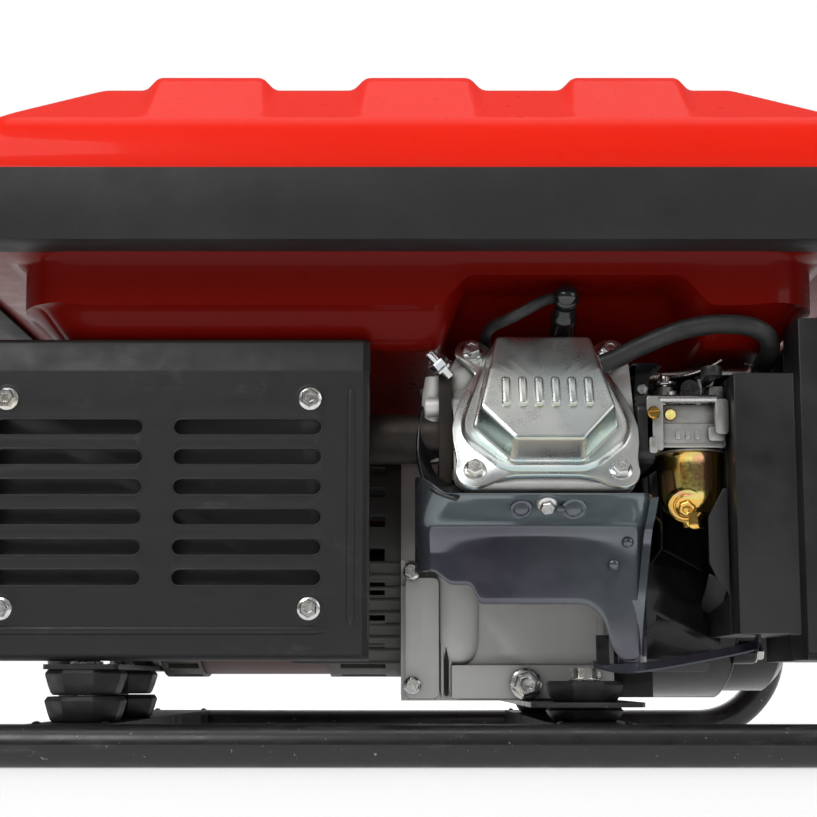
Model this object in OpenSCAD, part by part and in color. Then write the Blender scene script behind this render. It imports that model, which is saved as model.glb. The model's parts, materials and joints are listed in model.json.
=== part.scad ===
// Portable generator: a tube frame, a stamped fuel tank, an inclined single-cylinder
// engine and an alternator on the same crank axis.
// X runs along the crank axis (alternator at -X, starter at +X), Y across (muffler and
// carburettor at -Y, control panel at +Y), Z up. The origin is at the middle of the base.

/* [Frame] */
// Overall length of the frame
frame_l = 645; // [640:1:655]
// Overall width of the frame
frame_w = 430; // [428:1:440]
// Outside diameter of the frame tube
tube_d = 25; // [24:0.5:26]
// Wall thickness of the frame tube
tube_t = 1.6; // [1.2:0.1:2.5]
// Centreline radius of the lower bends
bend_r = 64; // [60:1:70]
// Underside of the band around the tank
band_z = 312; // [310:1:314]
// Height of the band
band_h = 45; // [42:1:47]
// Sheet thickness of the band
band_t = 3; // [2:0.5:3]

/* [Fuel tank] */
// Length of the tank above the band
tank_l = 600; // [596:2:602]
// Width of the tank above the band
tank_w = 400; // [396:1:402]
// Height of the tank's flat top
tank_top = 434; // [430:1:436]
// Height of the three raised ribs
rib_h = 8; // [5:0.5:9]
// Spacing of the ribs
rib_pitch = 135; // [131:1:137]
// Sheet thickness of the tank
tank_t = 2; // [1.5:0.1:2.5]
// Outside diameter of the fuel cap
cap_d = 70; // [66:1:72]

/* [Engine] */
// Angle of the cylinder above the horizontal
cyl_tilt = 25; // [25:1:26]
// Cylinder bore
bore_d = 68; // [66:1:68]
// Piston stroke
stroke = 54; // [50:1:54]
// Connecting rod length between centres
rod_l = 90; // [90:1:92]
// Diameter of the crankshaft journals
journal_d = 25; // [24:1:26]

/* [Alternator] */
// Outside diameter of the stator
stator_d = 172; // [168:1:174]
// Length of the stator core
stator_l = 90; // [80:1:95]
// Diameter of the rotor
rotor_d = 102; // [98:1:103]

/* [Muffler guard] */
// Width of the guard
guard_w = 257; // [255:1:259]
// Height of the slotted face
guard_h = 170; // [168:1:172]
// Length of each slot
slot_l = 90; // [86:1:92]
// Height of each slot
slot_h = 9.5; // [8:0.5:10]
// Spacing of the slots
slot_pitch = 18.4; // [18:0.1:18.6]

/* [Hidden] */
$fn = 48;
eps = 0.01;
steel_black = "#161617";
cast_grey = "#9a9c9b";
zinc = "#b9bcbc";
tank_red = "#b3141a";
rubber = "#202020";
plastic_black = "#1a1b1c";
// Running clearance on the radius of a shaft in its bore
run = 0.05;
// Gap between parts on different bodies that only pass each other
gap = 0.4;

// Frame
tube_r = tube_d / 2;
leg_x = frame_l / 2 - tube_r;
loop_y = frame_w / 2 - tube_r;
rail_half = leg_x - bend_r;
member_z = 25;
member_w = 50;
band_lip = 26;
seam_z = band_z + band_t;
// Rubber mounts: centre, underside, height of the lower cup, height of the upper cup
alt_mount_x = -204;
alt_mount_y = [-160, -55];
eng_mount_x = 103;
eng_mount_y = [-150, 97];
bracket_t = 3;
base_z = 37;

// Tank
tank_mid_z = 396;
tank_low_z = 257;
filler = [0, 50];
neck_r = 24;
cap_z = tank_top + rib_h + 3;
gauge = [129, 60];

// Engine
crank = [78, -1, 135];
throw = stroke / 2;
deck = 86;
// How far the ribs stand out around the crankcase
case_rib = 1.8;
barrel_top = 137;
head_top = 186;
// Ears of the valve cover, at either side: the lower pair and the upper pair
cover_ears = [[-44, -43.5], [44, -43.5], [-44, 47], [44, 47]];
tdc = throw + rod_l;
gap_x = 28;
web_t = 12;
// Radius of the fan housing's drum, and where it stands along the crank
drum_r = 97;
drum_x = 130;
drum_l = 85;
plug_u = 14;
// Ends of the head's two ports, either side of the cylinder axis
port_u = 57;

// Alternator
alt_x = -62;

// Muffler and guard
guard_x = -158.5;
guard_y = -185;
guard_z = 62;
slot_z = 131.7 + slot_pitch * 1.5;
column_x = 54.5;
guard_bolt = [92.5, 64];

// Control panel
panel_x = -130;
panel_w = 290;
panel_z = 78;
panel_h = 176;
panel_row_z = 228;
panel_y = 188;

// Rectangle with rounded corners, centred
module rrect(l, w, r) {
    square([l - 2 * r, w], center = true);
    square([l, w - 2 * r], center = true);
    for (sx = [-1, 1], sy = [-1, 1])
        translate([sx * (l / 2 - r), sy * (w / 2 - r)]) circle(r);
}

// Flat slab with rounded corners, its underside at z
module slab(l, w, r, z, h = 1) {
    translate([0, 0, z]) linear_extrude(h) rrect(l, w, r);
}

// A (Y, Z) outline run along X from x over a length l
module along_x(x, l) {
    translate([x, 0, 0]) rotate([90, 0, 90]) linear_extrude(l) children();
}

// An (X, Z) outline run along Y from y over a length l
module along_y(y, l) {
    translate([0, y + l, 0]) rotate([90, 0, 0]) linear_extrude(l) children();
}

// Round bar along X
module bar_x(x, y, z, l, r) {
    translate([x, y, z]) rotate([0, 90, 0]) cylinder(r = r, h = l);
}

// Round bar along Y
module bar_y(x, y, z, l, r) {
    translate([x, y, z]) rotate([-90, 0, 0]) cylinder(r = r, h = l);
}

// Places children in the cylinder's own frame: Z along the bore away from the crank,
// X along the crank, Y across the top of the cylinder
module cylinder_frame() {
    translate(crank) rotate([90 - cyl_tilt, 0, 0]) children();
}

// Hexagon flange bolt with its head above z = 0 and its shank below
module flange_bolt(shank_l = 12) {
    cylinder(r = 6.8, h = 1.6);
    cylinder(r = 5.8, h = 6.5, $fn = 6);
    translate([0, 0, -shank_l]) cylinder(r = 2.9, h = shank_l);
}

// Swept tube through a list of points, as a mesh of rings with n sides
function unit(v) = v / norm(v);
function tangent(p, i) = unit(p[min(i + 1, len(p) - 1)] - p[max(i - 1, 0)]);
function side_of(t) = unit(cross(t, abs(t[2]) < 0.8 ? [0, 0, 1] : [0, 1, 0]));
function ring(p, i, r, n) =
    let (t = tangent(p, i), s = side_of(t), u = cross(t, s))
    [for (k = [0 : n - 1]) p[i] + r * (cos(360 * k / n) * s + sin(360 * k / n) * u)];
module swept_tube(p, r, n = 10) {
    m = len(p);
    polyhedron(
        points = [for (i = [0 : m - 1]) each ring(p, i, r, n)],
        faces = concat(
            [[for (k = [0 : n - 1]) k]],
            [for (i = [0 : m - 2], k = [0 : n - 1]) [i * n + (k + 1) % n, i * n + k, (i + 1) * n + k]],
            [for (i = [0 : m - 2], k = [0 : n - 1])
                [(i + 1) * n + (k + 1) % n, i * n + (k + 1) % n, (i + 1) * n + k]],
            [[for (k = [n - 1 : -1 : 0]) (m - 1) * n + k]]));
}

// ---- Frame ----

module tube_ring() {
    difference() {
        circle(tube_r);
        circle(tube_r - tube_t);
    }
}

// One side of the frame: a lower rail, two bends and two legs in one bent tube
module frame_loop(y) {
    color(steel_black) translate([0, y, tube_r]) {
        rotate([0, 90, 0]) linear_extrude(2 * rail_half, center = true) tube_ring();
        for (s = [0, 1]) mirror([s, 0, 0]) {
            translate([rail_half, 0, bend_r]) rotate([90, 0, 0]) rotate([0, 0, -90])
                rotate_extrude(angle = 90) translate([bend_r, 0]) tube_ring();
            translate([leg_x, 0, bend_r])
                linear_extrude(band_z - tube_r - bend_r) tube_ring();
        }
    }
}
module rear_frame_loop() {
    frame_loop(-loop_y);
}
module front_frame_loop() {
    frame_loop(loop_y);
}

// Inverted channels across the base, coped to the tubes
module cross_members() {
    t = 2.5;
    color(steel_black) difference() {
        for (x = [alt_mount_x, eng_mount_x]) along_y(-loop_y, 2 * loop_y) translate([x, 0])
            difference() {
                translate([-member_w / 2, 6]) square([member_w, member_z - 6]);
                translate([-member_w / 2 + t, 6 - eps]) square([member_w - 2 * t, member_z - 6 - t]);
            }
        for (s = [-1, 1]) bar_x(-frame_l / 2, s * loop_y, tube_r, frame_l, tube_r);
        for (y = alt_mount_y) translate([alt_mount_x, y, 0]) cylinder(r = 5.5, h = 40);
        for (y = eng_mount_y) translate([eng_mount_x, y, 0]) cylinder(r = 5.5, h = 40);
        // Two bolt holes in each member for a wheel axle or a foot
        for (x = [alt_mount_x, eng_mount_x], y = [-20, 20])
            translate([x, y, 0]) cylinder(r = 4.25, h = 40);
    }
}

// Flat band around the tank, with the inward lip that carries it
module top_band() {
    color(steel_black) difference() {
        slab(frame_l, frame_w, 16, band_z, band_h);
        slab(frame_l - 2 * band_t, frame_w - 2 * band_t, 13, seam_z, band_h);
        slab(frame_l - 2 * band_lip, frame_w - 2 * band_lip, 12, band_z - 1, band_h);
    }
}

// Bell-shaped rubber cup with a bolt bore
module cup(h, r_low, r_top) {
    rotate_extrude() difference() {
        polygon([[0, 0], [r_low, 0], [r_top, h - 5], [r_top - 1.5, h - 1.8], [r_top - 5, h], [0, h]]);
        square([6, 2 * h + 1], center = false);
    }
}
module rubber_mounts() {
    color(rubber) {
        for (y = alt_mount_y, i = [0, 1])
            translate([alt_mount_x, y, member_z + 16 * i]) cup(16, 21.5, 23.5);
        for (y = eng_mount_y) translate([eng_mount_x, y, 0]) {
            translate([0, 0, member_z]) cup(base_z - bracket_t - member_z, 23, 24.5);
            translate([0, 0, base_z]) cup(13, 24.5, 23.5);
        }
    }
}

module mount_bolt(x, y, top) {
    translate([x, y, 0]) {
        translate([0, 0, 14]) cylinder(r = 4.9, h = top - 12);
        translate([0, 0, member_z - 2.5 - 7]) cylinder(r = 8.5, h = 7, $fn = 6);
        translate([0, 0, top]) {
            cylinder(r = 10, h = 1.8);
            cylinder(r = 8.5, h = 8, $fn = 6);
        }
    }
}
module mount_bolts() {
    color(zinc) {
        for (y = alt_mount_y) mount_bolt(alt_mount_x, y, member_z + 32 + bracket_t);
        for (y = eng_mount_y) mount_bolt(eng_mount_x, y, base_z + 13);
    }
}

// Plates between the rubber mounts and the feet of the alternator and the engine
module mount_brackets() {
    color(steel_black) difference() {
        union() {
            translate([alt_mount_x, -62, member_z + 32]) linear_extrude(bracket_t) rrect(46, 240, 8);
            translate([eng_mount_x, -26, base_z - bracket_t]) linear_extrude(bracket_t)
                rrect(70, 300, 8);
        }
        for (y = alt_mount_y) translate([alt_mount_x, y, 0]) cylinder(r = 5.5, h = 80);
        for (y = eng_mount_y) translate([eng_mount_x, y, 0]) cylinder(r = 5.5, h = 80);
    }
}

// ---- Fuel tank ----

// Half outline mirrored about zero: upright to z1, then sloping in to b at z2 and c at z3
function tank_outline(a, b, c, z0, z1, z2, z3) =
    [[-a, z0], [-a, z1], [-b, z2], [-c, z3], [c, z3], [b, z2], [a, z1], [a, z0]];

// Closed form of the upper tank from z0; g thickens it
module tank_top_form(z0, g) {
    z1 = band_z + band_h;
    intersection() {
        along_x(-tank_l, 2 * tank_l)
            polygon(tank_outline(tank_w / 2 + g, 190 + g, 150 + g, z0, z1, tank_mid_z + g, tank_top + g));
        along_y(-tank_w, 2 * tank_w)
            polygon(tank_outline(tank_l / 2 + g, 276 + g, 205 + g, z0, z1, tank_mid_z + g, tank_top + g));
        slab(tank_l + 2 * g, tank_w + 2 * g, 45 + g, z0, 200);
    }
}
// Stamped ribs across the tank
module tank_ribs(z0) {
    z1 = band_z + band_h;
    top_z = tank_top + rib_h;
    intersection() {
        along_x(-tank_l, 2 * tank_l)
            polygon(tank_outline(tank_w / 2 - 1, 189, 152, z0, z1, tank_mid_z, top_z));
        for (i = [-1 : 1]) along_y(-tank_w, 2 * tank_w) translate([i * rib_pitch, 0])
            polygon(tank_outline(40.5, 40.5, 33, z0, z1, tank_top, top_z));
    }
}
module tank_upper_shell() {
    boss_h = rib_h + 11;
    color(tank_red) difference() {
        union() {
            tank_top_form(seam_z + tank_t, 0);
            tank_ribs(seam_z + tank_t);
            slab(620, 420, 14, seam_z + tank_t, tank_t);
            translate([filler[0], filler[1], tank_top - 10]) cylinder(r = 50, h = boss_h);
            translate([gauge[0], gauge[1], tank_top - 10]) cylinder(r = 27, h = boss_h);
        }
        tank_top_form(seam_z - 2, -tank_t);
        translate([filler[0], filler[1], tank_top - 20]) cylinder(r = neck_r, h = 60);
        translate([gauge[0], gauge[1], tank_top - 20]) cylinder(r = 18, h = 60);
    }
}

// Closed form of the lower tank; g thickens it
module tank_low_form(z1, g) {
    hull($fn = 32) {
        slab(498 + 2 * g, 376 + 2 * g, 35, 281 - g, 1);
        slab(498 + 2 * g, 376 + 2 * g, 35, z1 - 1, 1);
        slab(450 + 2 * g, 330 + 2 * g, 25, tank_low_z - g, 1);
    }
}
// Room for the cylinder head, the plug and its boot
module head_pocket(g) {
    along_x(15 - g, 163 + 2 * g)
        polygon([[-250, 200], [-104 + g, 200], [-104 + g, 262], [-140 + g, 298 + g], [-250, 298 + g]]);
}
module tank_lower_shell() {
    color("#7d0f13") difference() {
        union() {
            difference() {
                tank_low_form(seam_z, 0);
                head_pocket(0);
            }
            slab(620, 420, 14, seam_z, tank_t);
        }
        difference() {
            tank_low_form(seam_z + tank_t + 2, -tank_t);
            head_pocket(tank_t);
        }
        translate([-120, 60, 200]) cylinder(r = 6, h = 80);
    }
}

module fuel_strainer() {
    color("#d8d3c4") translate([filler[0], filler[1], cap_z - 62]) difference() {
        union() {
            cylinder(r = neck_r - 1.5, h = 60);
            translate([0, 0, 60]) cylinder(r = neck_r + 4, h = 1.6);
        }
        translate([0, 0, 1.5]) cylinder(r = neck_r - 3, h = 62);
    }
}

// Round cap with a grip edge
module fuel_cap() {
    grips = 24;
    color(plastic_black) translate([filler[0], filler[1], cap_z]) difference() {
        union() {
            cylinder(d = cap_d, h = 16);
            translate([0, 0, 16]) cylinder(r1 = cap_d / 2, r2 = cap_d / 2 - 4, h = 5);
        }
        for (i = [0 : grips - 1]) rotate([0, 0, 360 / grips * i]) translate([cap_d / 2 + 0.8, 0, 2])
            cylinder(r = 2.2, h = 30, $fn = 16);
        translate([0, 0, -1]) cylinder(r = neck_r + 5, h = 9);
    }
}

module fuel_gauge() {
    color(plastic_black) translate([gauge[0], gauge[1], cap_z - 14]) difference() {
        union() {
            cylinder(r = 17.7, h = 14);
            translate([0, 0, 14]) cylinder(r = 24, h = 7);
        }
        translate([0, 0, 15]) cylinder(r = 19, h = 8);
    }
}
module gauge_needle() {
    color("#d9402a") translate([gauge[0], gauge[1], cap_z + 1 + gap]) {
        cylinder(r = 3, h = 2);
        translate([0, -0.8, 0]) cube([15, 1.6, 1.2]);
    }
}

// Fuel tap under the tank, with its outlet towards the carburettor
module fuel_tap() {
    color(zinc) translate([-120, 60, tank_low_z]) {
        translate([0, 0, -6]) cylinder(r = 12, h = 6);
        translate([0, 0, -30]) cylinder(r = 8, h = 26);
        bar_x(0, 0, -24, 24, 4);
        bar_y(0, -2, -20, 16, 7);
        cylinder(r = 5.8, h = 20);
    }
}
module fuel_tap_lever() {
    color("#c22a1e") translate([-120, 74 + gap, tank_low_z - 20]) {
        bar_y(0, 0, 0, 6, 7);
        translate([-3.5, 0, -28]) cube([7, 6, 30]);
    }
}

// ---- Engine ----

// Outline of the crankcase in (Y, Z), grown by g
module case_outline(g) {
    translate([crank[1], crank[2]]) {
        circle(84 + g, $fn = 96);
        rotate(180 - cyl_tilt) translate([0, -46 - g]) square([deck, 92 + 2 * g]);
    }
    translate([-95 - g / 2, base_z]) square([165 + g, 76]);
}
module case_cavity() {
    translate([crank[1], crank[2]]) {
        circle(76, $fn = 96);
        rotate(180 - cyl_tilt) translate([0, -41]) square([deck - 8, 82]);
    }
    translate([-87, base_z + 8]) square([149, 60]);
}
module crankcase() {
    color(cast_grey) difference() {
        union() {
            along_x(19, 111) case_outline(0);
            for (x = [24, 120]) along_x(x, 4) case_outline(case_rib);
            bar_y(45, 55, 64, 24, 15);
        }
        along_x(18, 106) case_cavity();
        cylinder_frame() translate([0, 0, 30]) cylinder(r = 40, h = 60);
        bar_x(118, crank[1], crank[2], 20, journal_d / 2);
        bar_y(71, -100, 48, 20, 6);
        bar_y(45, 40, 64, 50, 9);
    }
}
module crankcase_cover() {
    color(cast_grey) difference() {
        union() {
            along_x(-11, 30) case_outline(0);
            for (i = [0 : 3]) along_x(-9 + 7 * i, 3) case_outline(case_rib);
        }
        along_x(-4, 24) case_cavity();
        bar_x(-20, crank[1], crank[2], 30, journal_d / 2);
    }
}

module cylinder_barrel() {
    fins = 7;
    color(cast_grey) cylinder_frame() difference() {
        union() {
            translate([0, 0, 60]) cylinder(r = 39.5, h = barrel_top - 60);
            slab(96, 92, 12, deck, 5);
            for (i = [0 : fins - 1]) slab(100, 96, 12, deck + 8 + 5.8 * i, 2.4);
            slab(96, 92, 12, barrel_top - 4, 4);
        }
        translate([0, 0, 50]) cylinder(d = bore_d, h = 100);
    }
}

// Frame of the spark plug: Z along the plug, from its seat in the head
module plug_frame() {
    cylinder_frame() translate([plug_u, 51, 150]) rotate([-9.5, 0, 0]) children();
}
module cylinder_head() {
    color(cast_grey) difference() {
        union() {
            cylinder_frame() {
                slab(80, 84, 10, barrel_top, head_top - barrel_top);
                for (i = [0 : 4]) slab(102, 100, 10, barrel_top + 6.5 * i, 2.8);
                slab(112, 100, 12, head_top - 14, 14);
                for (s = [0, 1]) mirror([s, 0, 0]) bar_x(0, 0, 160, port_u, 19);
            }
            plug_frame() cylinder(r = 12, h = 20);
        }
        cylinder_frame() {
            translate([0, 0, barrel_top - 1]) cylinder(r = 32, h = 8);
            bar_x(20, 0, 160, 50, 9);
            bar_x(-60, 0, 160, 40, 13);
        }
        plug_frame() translate([0, 0, -20]) cylinder(r = 7, h = 60);
        plug_frame() translate([0, 0, 20]) cylinder(r = 12.5, h = 40);
    }
}

// Outline of the valve cover's flange with four round ears
module cover_flange() {
    difference() {
        union() {
            square([84, 92], center = true);
            square([96, 62], center = true);
            for (p = cover_ears) translate(p) circle(12);
        }
        for (p = cover_ears) translate(p) circle(3.3);
    }
}
// Dome of the valve cover; g thickens it
module cover_dome(g) {
    hull($fn = 24) {
        slab(88 + 2 * g, 80 + 2 * g, 12, head_top + (g < 0 ? -1 : 0), 8);
        translate([0, 12, 0]) slab(76 + 2 * g, 56 + 2 * g, 10, head_top + 16 + g, 1);
        translate([0, -12, 0]) slab(76 + 2 * g, 46 + 2 * g, 10, head_top + 26 + g, 1);
    }
}
module valve_cover() {
    color("#a9a79b") cylinder_frame() difference() {
        union() {
            translate([0, 0, head_top]) linear_extrude(4) cover_flange();
            cover_dome(0);
        }
        cover_dome(-2);
    }
}

module spark_plug() {
    color("#e8e6df") plug_frame() {
        translate([0, 0, -8]) cylinder(r = 6.9, h = 28);
        translate([0, 0, 20]) cylinder(r = 9.5, h = 9, $fn = 6);
        translate([0, 0, 29]) cylinder(r = 5.5, h = 20);
        translate([0, 0, 49]) cylinder(r = 3, h = 8);
    }
}
module plug_cap() {
    color(rubber) plug_frame() difference() {
        union() {
            rotate_extrude() polygon([[0, 31], [9.5, 31], [9.5, 40], [7.5, 48], [7, 70], [0, 70]]);
            translate([0, 0, 74]) sphere(r = 8);
        }
        translate([0, 0, 30]) cylinder(r = 5.6, h = 28);
    }
}

// Route of the ignition lead, from the plug cap to the coil behind the fan
lead_points = [
    [82.6, -176.3, 286.8], [76, -181, 283], [66, -183, 277], [56, -178, 273], [48, -166, 272],
    [44, -150, 271], [44, -135, 265], [46, -120, 256], [52, -105, 249], [64, -90, 246],
    [80, -76, 243], [96, -64, 241], [112, -54, 236], [122, -50, 229], [129.8, -48, 221]
];
module plug_lead() {
    color(rubber) swept_tube(lead_points, 3.5, 8);
}

module piston() {
    color("#c9cacb") cylinder_frame() difference() {
        translate([0, 0, tdc - 14]) cylinder(r = bore_d / 2 - run, h = 31);
        for (i = [0 : 2]) translate([0, 0, tdc + 13 - 4 * i]) difference() {
            cylinder(r = bore_d, h = 1.5);
            translate([0, 0, -1]) cylinder(r = bore_d / 2 - 2.5, h = 4);
        }
        translate([0, 0, tdc - 15]) cylinder(r = bore_d / 2 - 5, h = 29);
        bar_x(-50, 0, tdc, 100, 8.02);
    }
}
// Rod with its two pins; the big end rides between the crank webs
module connecting_rod() {
    color("#8d8f90") cylinder_frame() {
        along_x(-7, 14) difference() {
            union() {
                translate([0, throw]) circle(22);
                translate([0, tdc]) circle(13);
                polygon([[-9, throw + 15], [9, throw + 15], [6, tdc - 8], [-6, tdc - 8]]);
            }
            translate([0, throw]) circle(15.05);
            translate([0, tdc]) circle(8.05);
        }
        bar_x(-27, 0, tdc, 54, 8);
        bar_x(-gap_x / 2 + gap, 0, throw, gap_x - 2 * gap, 15);
    }
}

module web_outline() {
    circle(20);
    translate([0, throw]) circle(17);
    translate([-17, 0]) square([34, throw]);
    intersection() {
        circle(40);
        translate([-40, -40]) square([80, 36]);
    }
}
module crankshaft() {
    r = journal_d / 2 - run;
    color("#7f8183") {
        translate([0, crank[1], crank[2]]) rotate([90 - cyl_tilt, 0, 0]) {
            along_x(crank[0] - gap_x / 2 - web_t, web_t) web_outline();
            along_x(crank[0] + gap_x / 2, web_t) web_outline();
        }
        bar_x(-14, crank[1], crank[2], 14 + crank[0] - gap_x / 2 - web_t, r);
        bar_x(crank[0] + gap_x / 2 + web_t, crank[1], crank[2], 96, r);
    }
}

// Flywheel with its fan blades and the cup that the recoil starter drives
module flywheel() {
    blades = 18;
    color("#8b8d8e") translate([0, crank[1], crank[2]]) difference() {
        union() {
            bar_x(142, 0, 0, 24, 88);
            bar_x(166, 0, 0, 36, 26);
            for (i = [0 : blades - 1]) rotate([360 / blades * i, 0, 0])
                translate([166 - eps, -1.5, 58]) cube([20, 3, 30]);
        }
        bar_x(130, 0, 0, 80, journal_d / 2);
        bar_x(188, 0, 0, 20, 22);
    }
}

module fan_outline(g) {
    translate([crank[1], crank[2]]) {
        circle(drum_r + g, $fn = 96);
    }
}
module fan_duct(g) {
    translate([crank[1], crank[2]]) rotate(180 - cyl_tilt)
        translate([40, -50 - g]) square([80 + g, 100 + 2 * g]);
}
module fan_housing() {
    color("#131314") difference() {
        union() {
            along_x(drum_x, drum_l) fan_outline(0);
            along_x(drum_x, 14) fan_duct(0);
            // Foot that stands beside the crankcase
            translate([drum_x, -70, base_z + 2]) cube([30, 60, 30]);
        }
        along_x(drum_x + 3, drum_l - 6) fan_outline(-3);
        along_x(drum_x - 1, 12) fan_duct(-3);
        bar_x(drum_x - 5, crank[1], crank[2], 20, 60);
        bar_x(drum_x + drum_l - 10, crank[1], crank[2], 20, 70);
    }
}

// Cover of the recoil starter with its air slots
module recoil_cover() {
    slots = 20;
    x = drum_x + drum_l;
    color("#131314") translate([0, crank[1], crank[2]]) difference() {
        union() {
            bar_x(x, 0, 0, 34, 92);
            translate([x + 34, 0, 0]) rotate([0, 90, 0]) cylinder(r1 = 92, r2 = 86, h = 6);
            translate([228.5, 70, 40]) rotate([-90, 0, 0]) cylinder(r = 9, h = 26);
        }
        bar_x(x - 1, 0, 0, 33, 89);
        for (i = [0 : slots - 1]) rotate([360 / slots * i, 0, 0])
            translate([x + 30, -4, 50]) cube([20, 8, 26]);
        translate([228.5, 50, 40]) rotate([-90, 0, 0]) cylinder(r = 3.5, h = 60);
    }
    color("#8b8d8e") bar_x(x + 4, crank[1], crank[2], 28, 8);
}
module recoil_pulley() {
    color(plastic_black) translate([0, crank[1], crank[2]]) difference() {
        union() {
            bar_x(220, 0, 0, 4, 46);
            bar_x(224, 0, 0, 9, 37);
            bar_x(233, 0, 0, 4, 46);
            bar_x(206, 0, 0, 14, 17);
        }
        bar_x(218.5, 0, 0, 30, 8 + run);
        for (i = [0 : 4]) rotate([72 * i, 0, 0]) bar_x(215, 0, 24, 30, 7);
    }
}
// Grip with its length of rope
module recoil_handle() {
    y = 97;
    translate([228.5, crank[1], crank[2] + 40]) {
        color("#e9e4d6") bar_y(0, 45, 0, y - 45, 2);
        color(plastic_black) {
            bar_y(0, y, 0, 12, 6.5);
            translate([-34, y + 20, 0]) rotate([0, 90, 0]) cylinder(r = 9, h = 68);
            for (s = [-1, 1]) translate([s * 34, y + 20, 0]) sphere(r = 9);
        }
    }
}

// Sheet-metal cowl under the cylinder: floor, bent edge, front and sloping ledge
module cylinder_cowl() {
    t = 1.5;
    color("#3d4a57") along_x(-2, 144) {
        translate([-147, 92]) square([50, t]);
        polygon([[-147, 92], [-147, 92 + t], [-152 + t, 97], [-152, 97]]);
        translate([-152, 97]) square([t, 47]);
        polygon([[-152 + t, 144], [-152, 144], [-168, 151.5], [-186, 161], [-185.3, 162.3], [-167.3, 152.8]]);
    }
}

module drain_plug() {
    color(zinc) translate([71, -95, 48]) {
        bar_y(0, -3, 0, 3, 10);
        translate([0, -3, 0]) rotate([90, 0, 0]) cylinder(r = 7.5, h = 8, $fn = 6);
        bar_y(0, 0, 0, 12, 5.8);
    }
}
module dipstick() {
    grips = 12;
    color("#2a2a2a") translate([45, 79 + gap, 64]) {
        difference() {
            bar_y(0, 0, 0, 14, 15);
            for (i = [0 : grips - 1]) rotate([0, 360 / grips * i, 0])
                translate([15.6, -1, 0]) rotate([-90, 0, 0]) cylinder(r = 2.2, h = 20, $fn = 16);
        }
        bar_y(0, -18, 0, 18, 8.9);
        bar_y(0, -34, 0, 16, 2);
    }
}

// ---- Intake ----

carb = [146, -146, 203];
module intake_insulator() {
    x = crank[0] + port_u;
    color("#3a2c22") translate([x, 0, 0]) rotate([90, 0, 90]) linear_extrude(carb[0] - x)
        translate([carb[1], carb[2]]) difference() {
            rrect(60, 40, 8);
            circle(9);
        }
}
module carburettor() {
    color("#a7a8a6") translate(carb) difference() {
        union() {
            for (x = [0, 40]) along_x(x, 6) rrect(60, 23, 6);
            bar_x(5, 0, 0, 36, 11.5);
            translate([8, -16, -6]) cube([28, 32, 34]);
            translate([23, 0, -12]) cylinder(r = 20, h = 14);
            // Bosses of the throttle and choke shafts, and the fuel inlet
            translate([12, 0, 24]) cylinder(r = 5, h = 10);
            translate([34, 0, 17]) cylinder(r = 5, h = 15);
            bar_y(23, 12, -8, 14, 3.4);
        }
        bar_x(-1, 0, 0, 60, 9);
        translate([12, 0, 10]) cylinder(r = 3 + run, h = 40);
        translate([34, 0, 10]) cylinder(r = 3 + run, h = 40);
    }
}
module carburettor_bowl() {
    color("#b79a55") translate([carb[0] + 23, carb[1], carb[2]]) {
        translate([0, 0, -14]) cylinder(r = 21.5, h = 2);
        translate([0, 0, -32]) cylinder(r1 = 18, r2 = 20.5, h = 18);
        translate([0, 0, -35]) cylinder(r1 = 14, r2 = 18, h = 3);
        translate([0, 0, -42]) cylinder(r = 6, h = 7, $fn = 6);
    }
}
module throttle_lever() {
    color(zinc) translate([carb[0] + 12, carb[1], carb[2] + 34 + gap]) {
        translate([0, 0, -20]) cylinder(r = 3, h = 26);
        difference() {
            union() {
                cylinder(r = 7, h = 2);
                translate([-5, 0, 0]) cube([10, 34, 2]);
            }
            translate([0, 30, -1]) cylinder(r = 1.6, h = 4);
        }
    }
}
module choke_lever() {
    color(plastic_black) translate([carb[0] + 34, carb[1], carb[2] + 32 + gap]) {
        translate([0, 0, -20]) cylinder(r = 3, h = 24);
        cylinder(r = 8, h = 3);
        translate([-4, -36, 0]) cube([8, 36, 3]);
        translate([0, -36, 0]) cylinder(r = 6.5, h = 6);
    }
}

box_x = 229;
box_end = 292;
box_z = 62;
box_top = 268;
box_seam = -165;
module air_box_form(y0, y1, g) {
    translate([box_x - g, y0, box_z - g]) cube([box_end - box_x + 2 * g, y1 - y0, box_top - box_z + 2 * g]);
    translate([carb[0] + 46 - g, y0 > box_seam - 1 ? y0 : y0 + 12, 78 - g])
        cube([box_x - carb[0] - 46 + 2 * g, y0 > box_seam - 1 ? y1 - y0 : y1 - y0 - 12, 159 + 2 * g]);
}
// Corner of the air box cut away beside the slope of the tank
module tank_slope_cut(g) {
    along_y(-200, 120) polygon([[200, 254 - g], [229 + g, 254 - g], [243 + g, 270], [200, 270]]);
}
module air_box_base() {
    color(plastic_black) difference() {
        union() {
            difference() {
                air_box_form(box_seam, -104, 0);
                tank_slope_cut(0);
            }
            translate([219, -150, 237]) cylinder(r = 7, h = 6);
        }
        difference() {
            translate([0, -1, 0]) air_box_form(box_seam, -106, -2.5);
            tank_slope_cut(2.5);
        }
        bar_x(carb[0] + 40, carb[1], carb[2], 20, 14);
        translate([219, -150, 230]) cylinder(r = 4, h = 20);
    }
}
module air_box_cover() {
    color(plastic_black) difference() {
        air_box_form(-200, box_seam - gap, 0);
        translate([0, 2.5, 0]) air_box_form(-200, box_seam, -2.5);
        // Chamfer along the foot of the cover
        translate([180, -206, box_z - 6]) rotate([45, 0, 0]) cube([130, 12, 12]);
    }
}
module filter_element() {
    pleats = 12;
    color("#d8c9a0") translate([234, box_seam + 4, 92]) difference() {
        cube([52, 52, 150]);
        for (i = [1 : pleats]) translate([-1, -1, i * 11.8]) cube([60, 18, 4]);
    }
}

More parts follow.
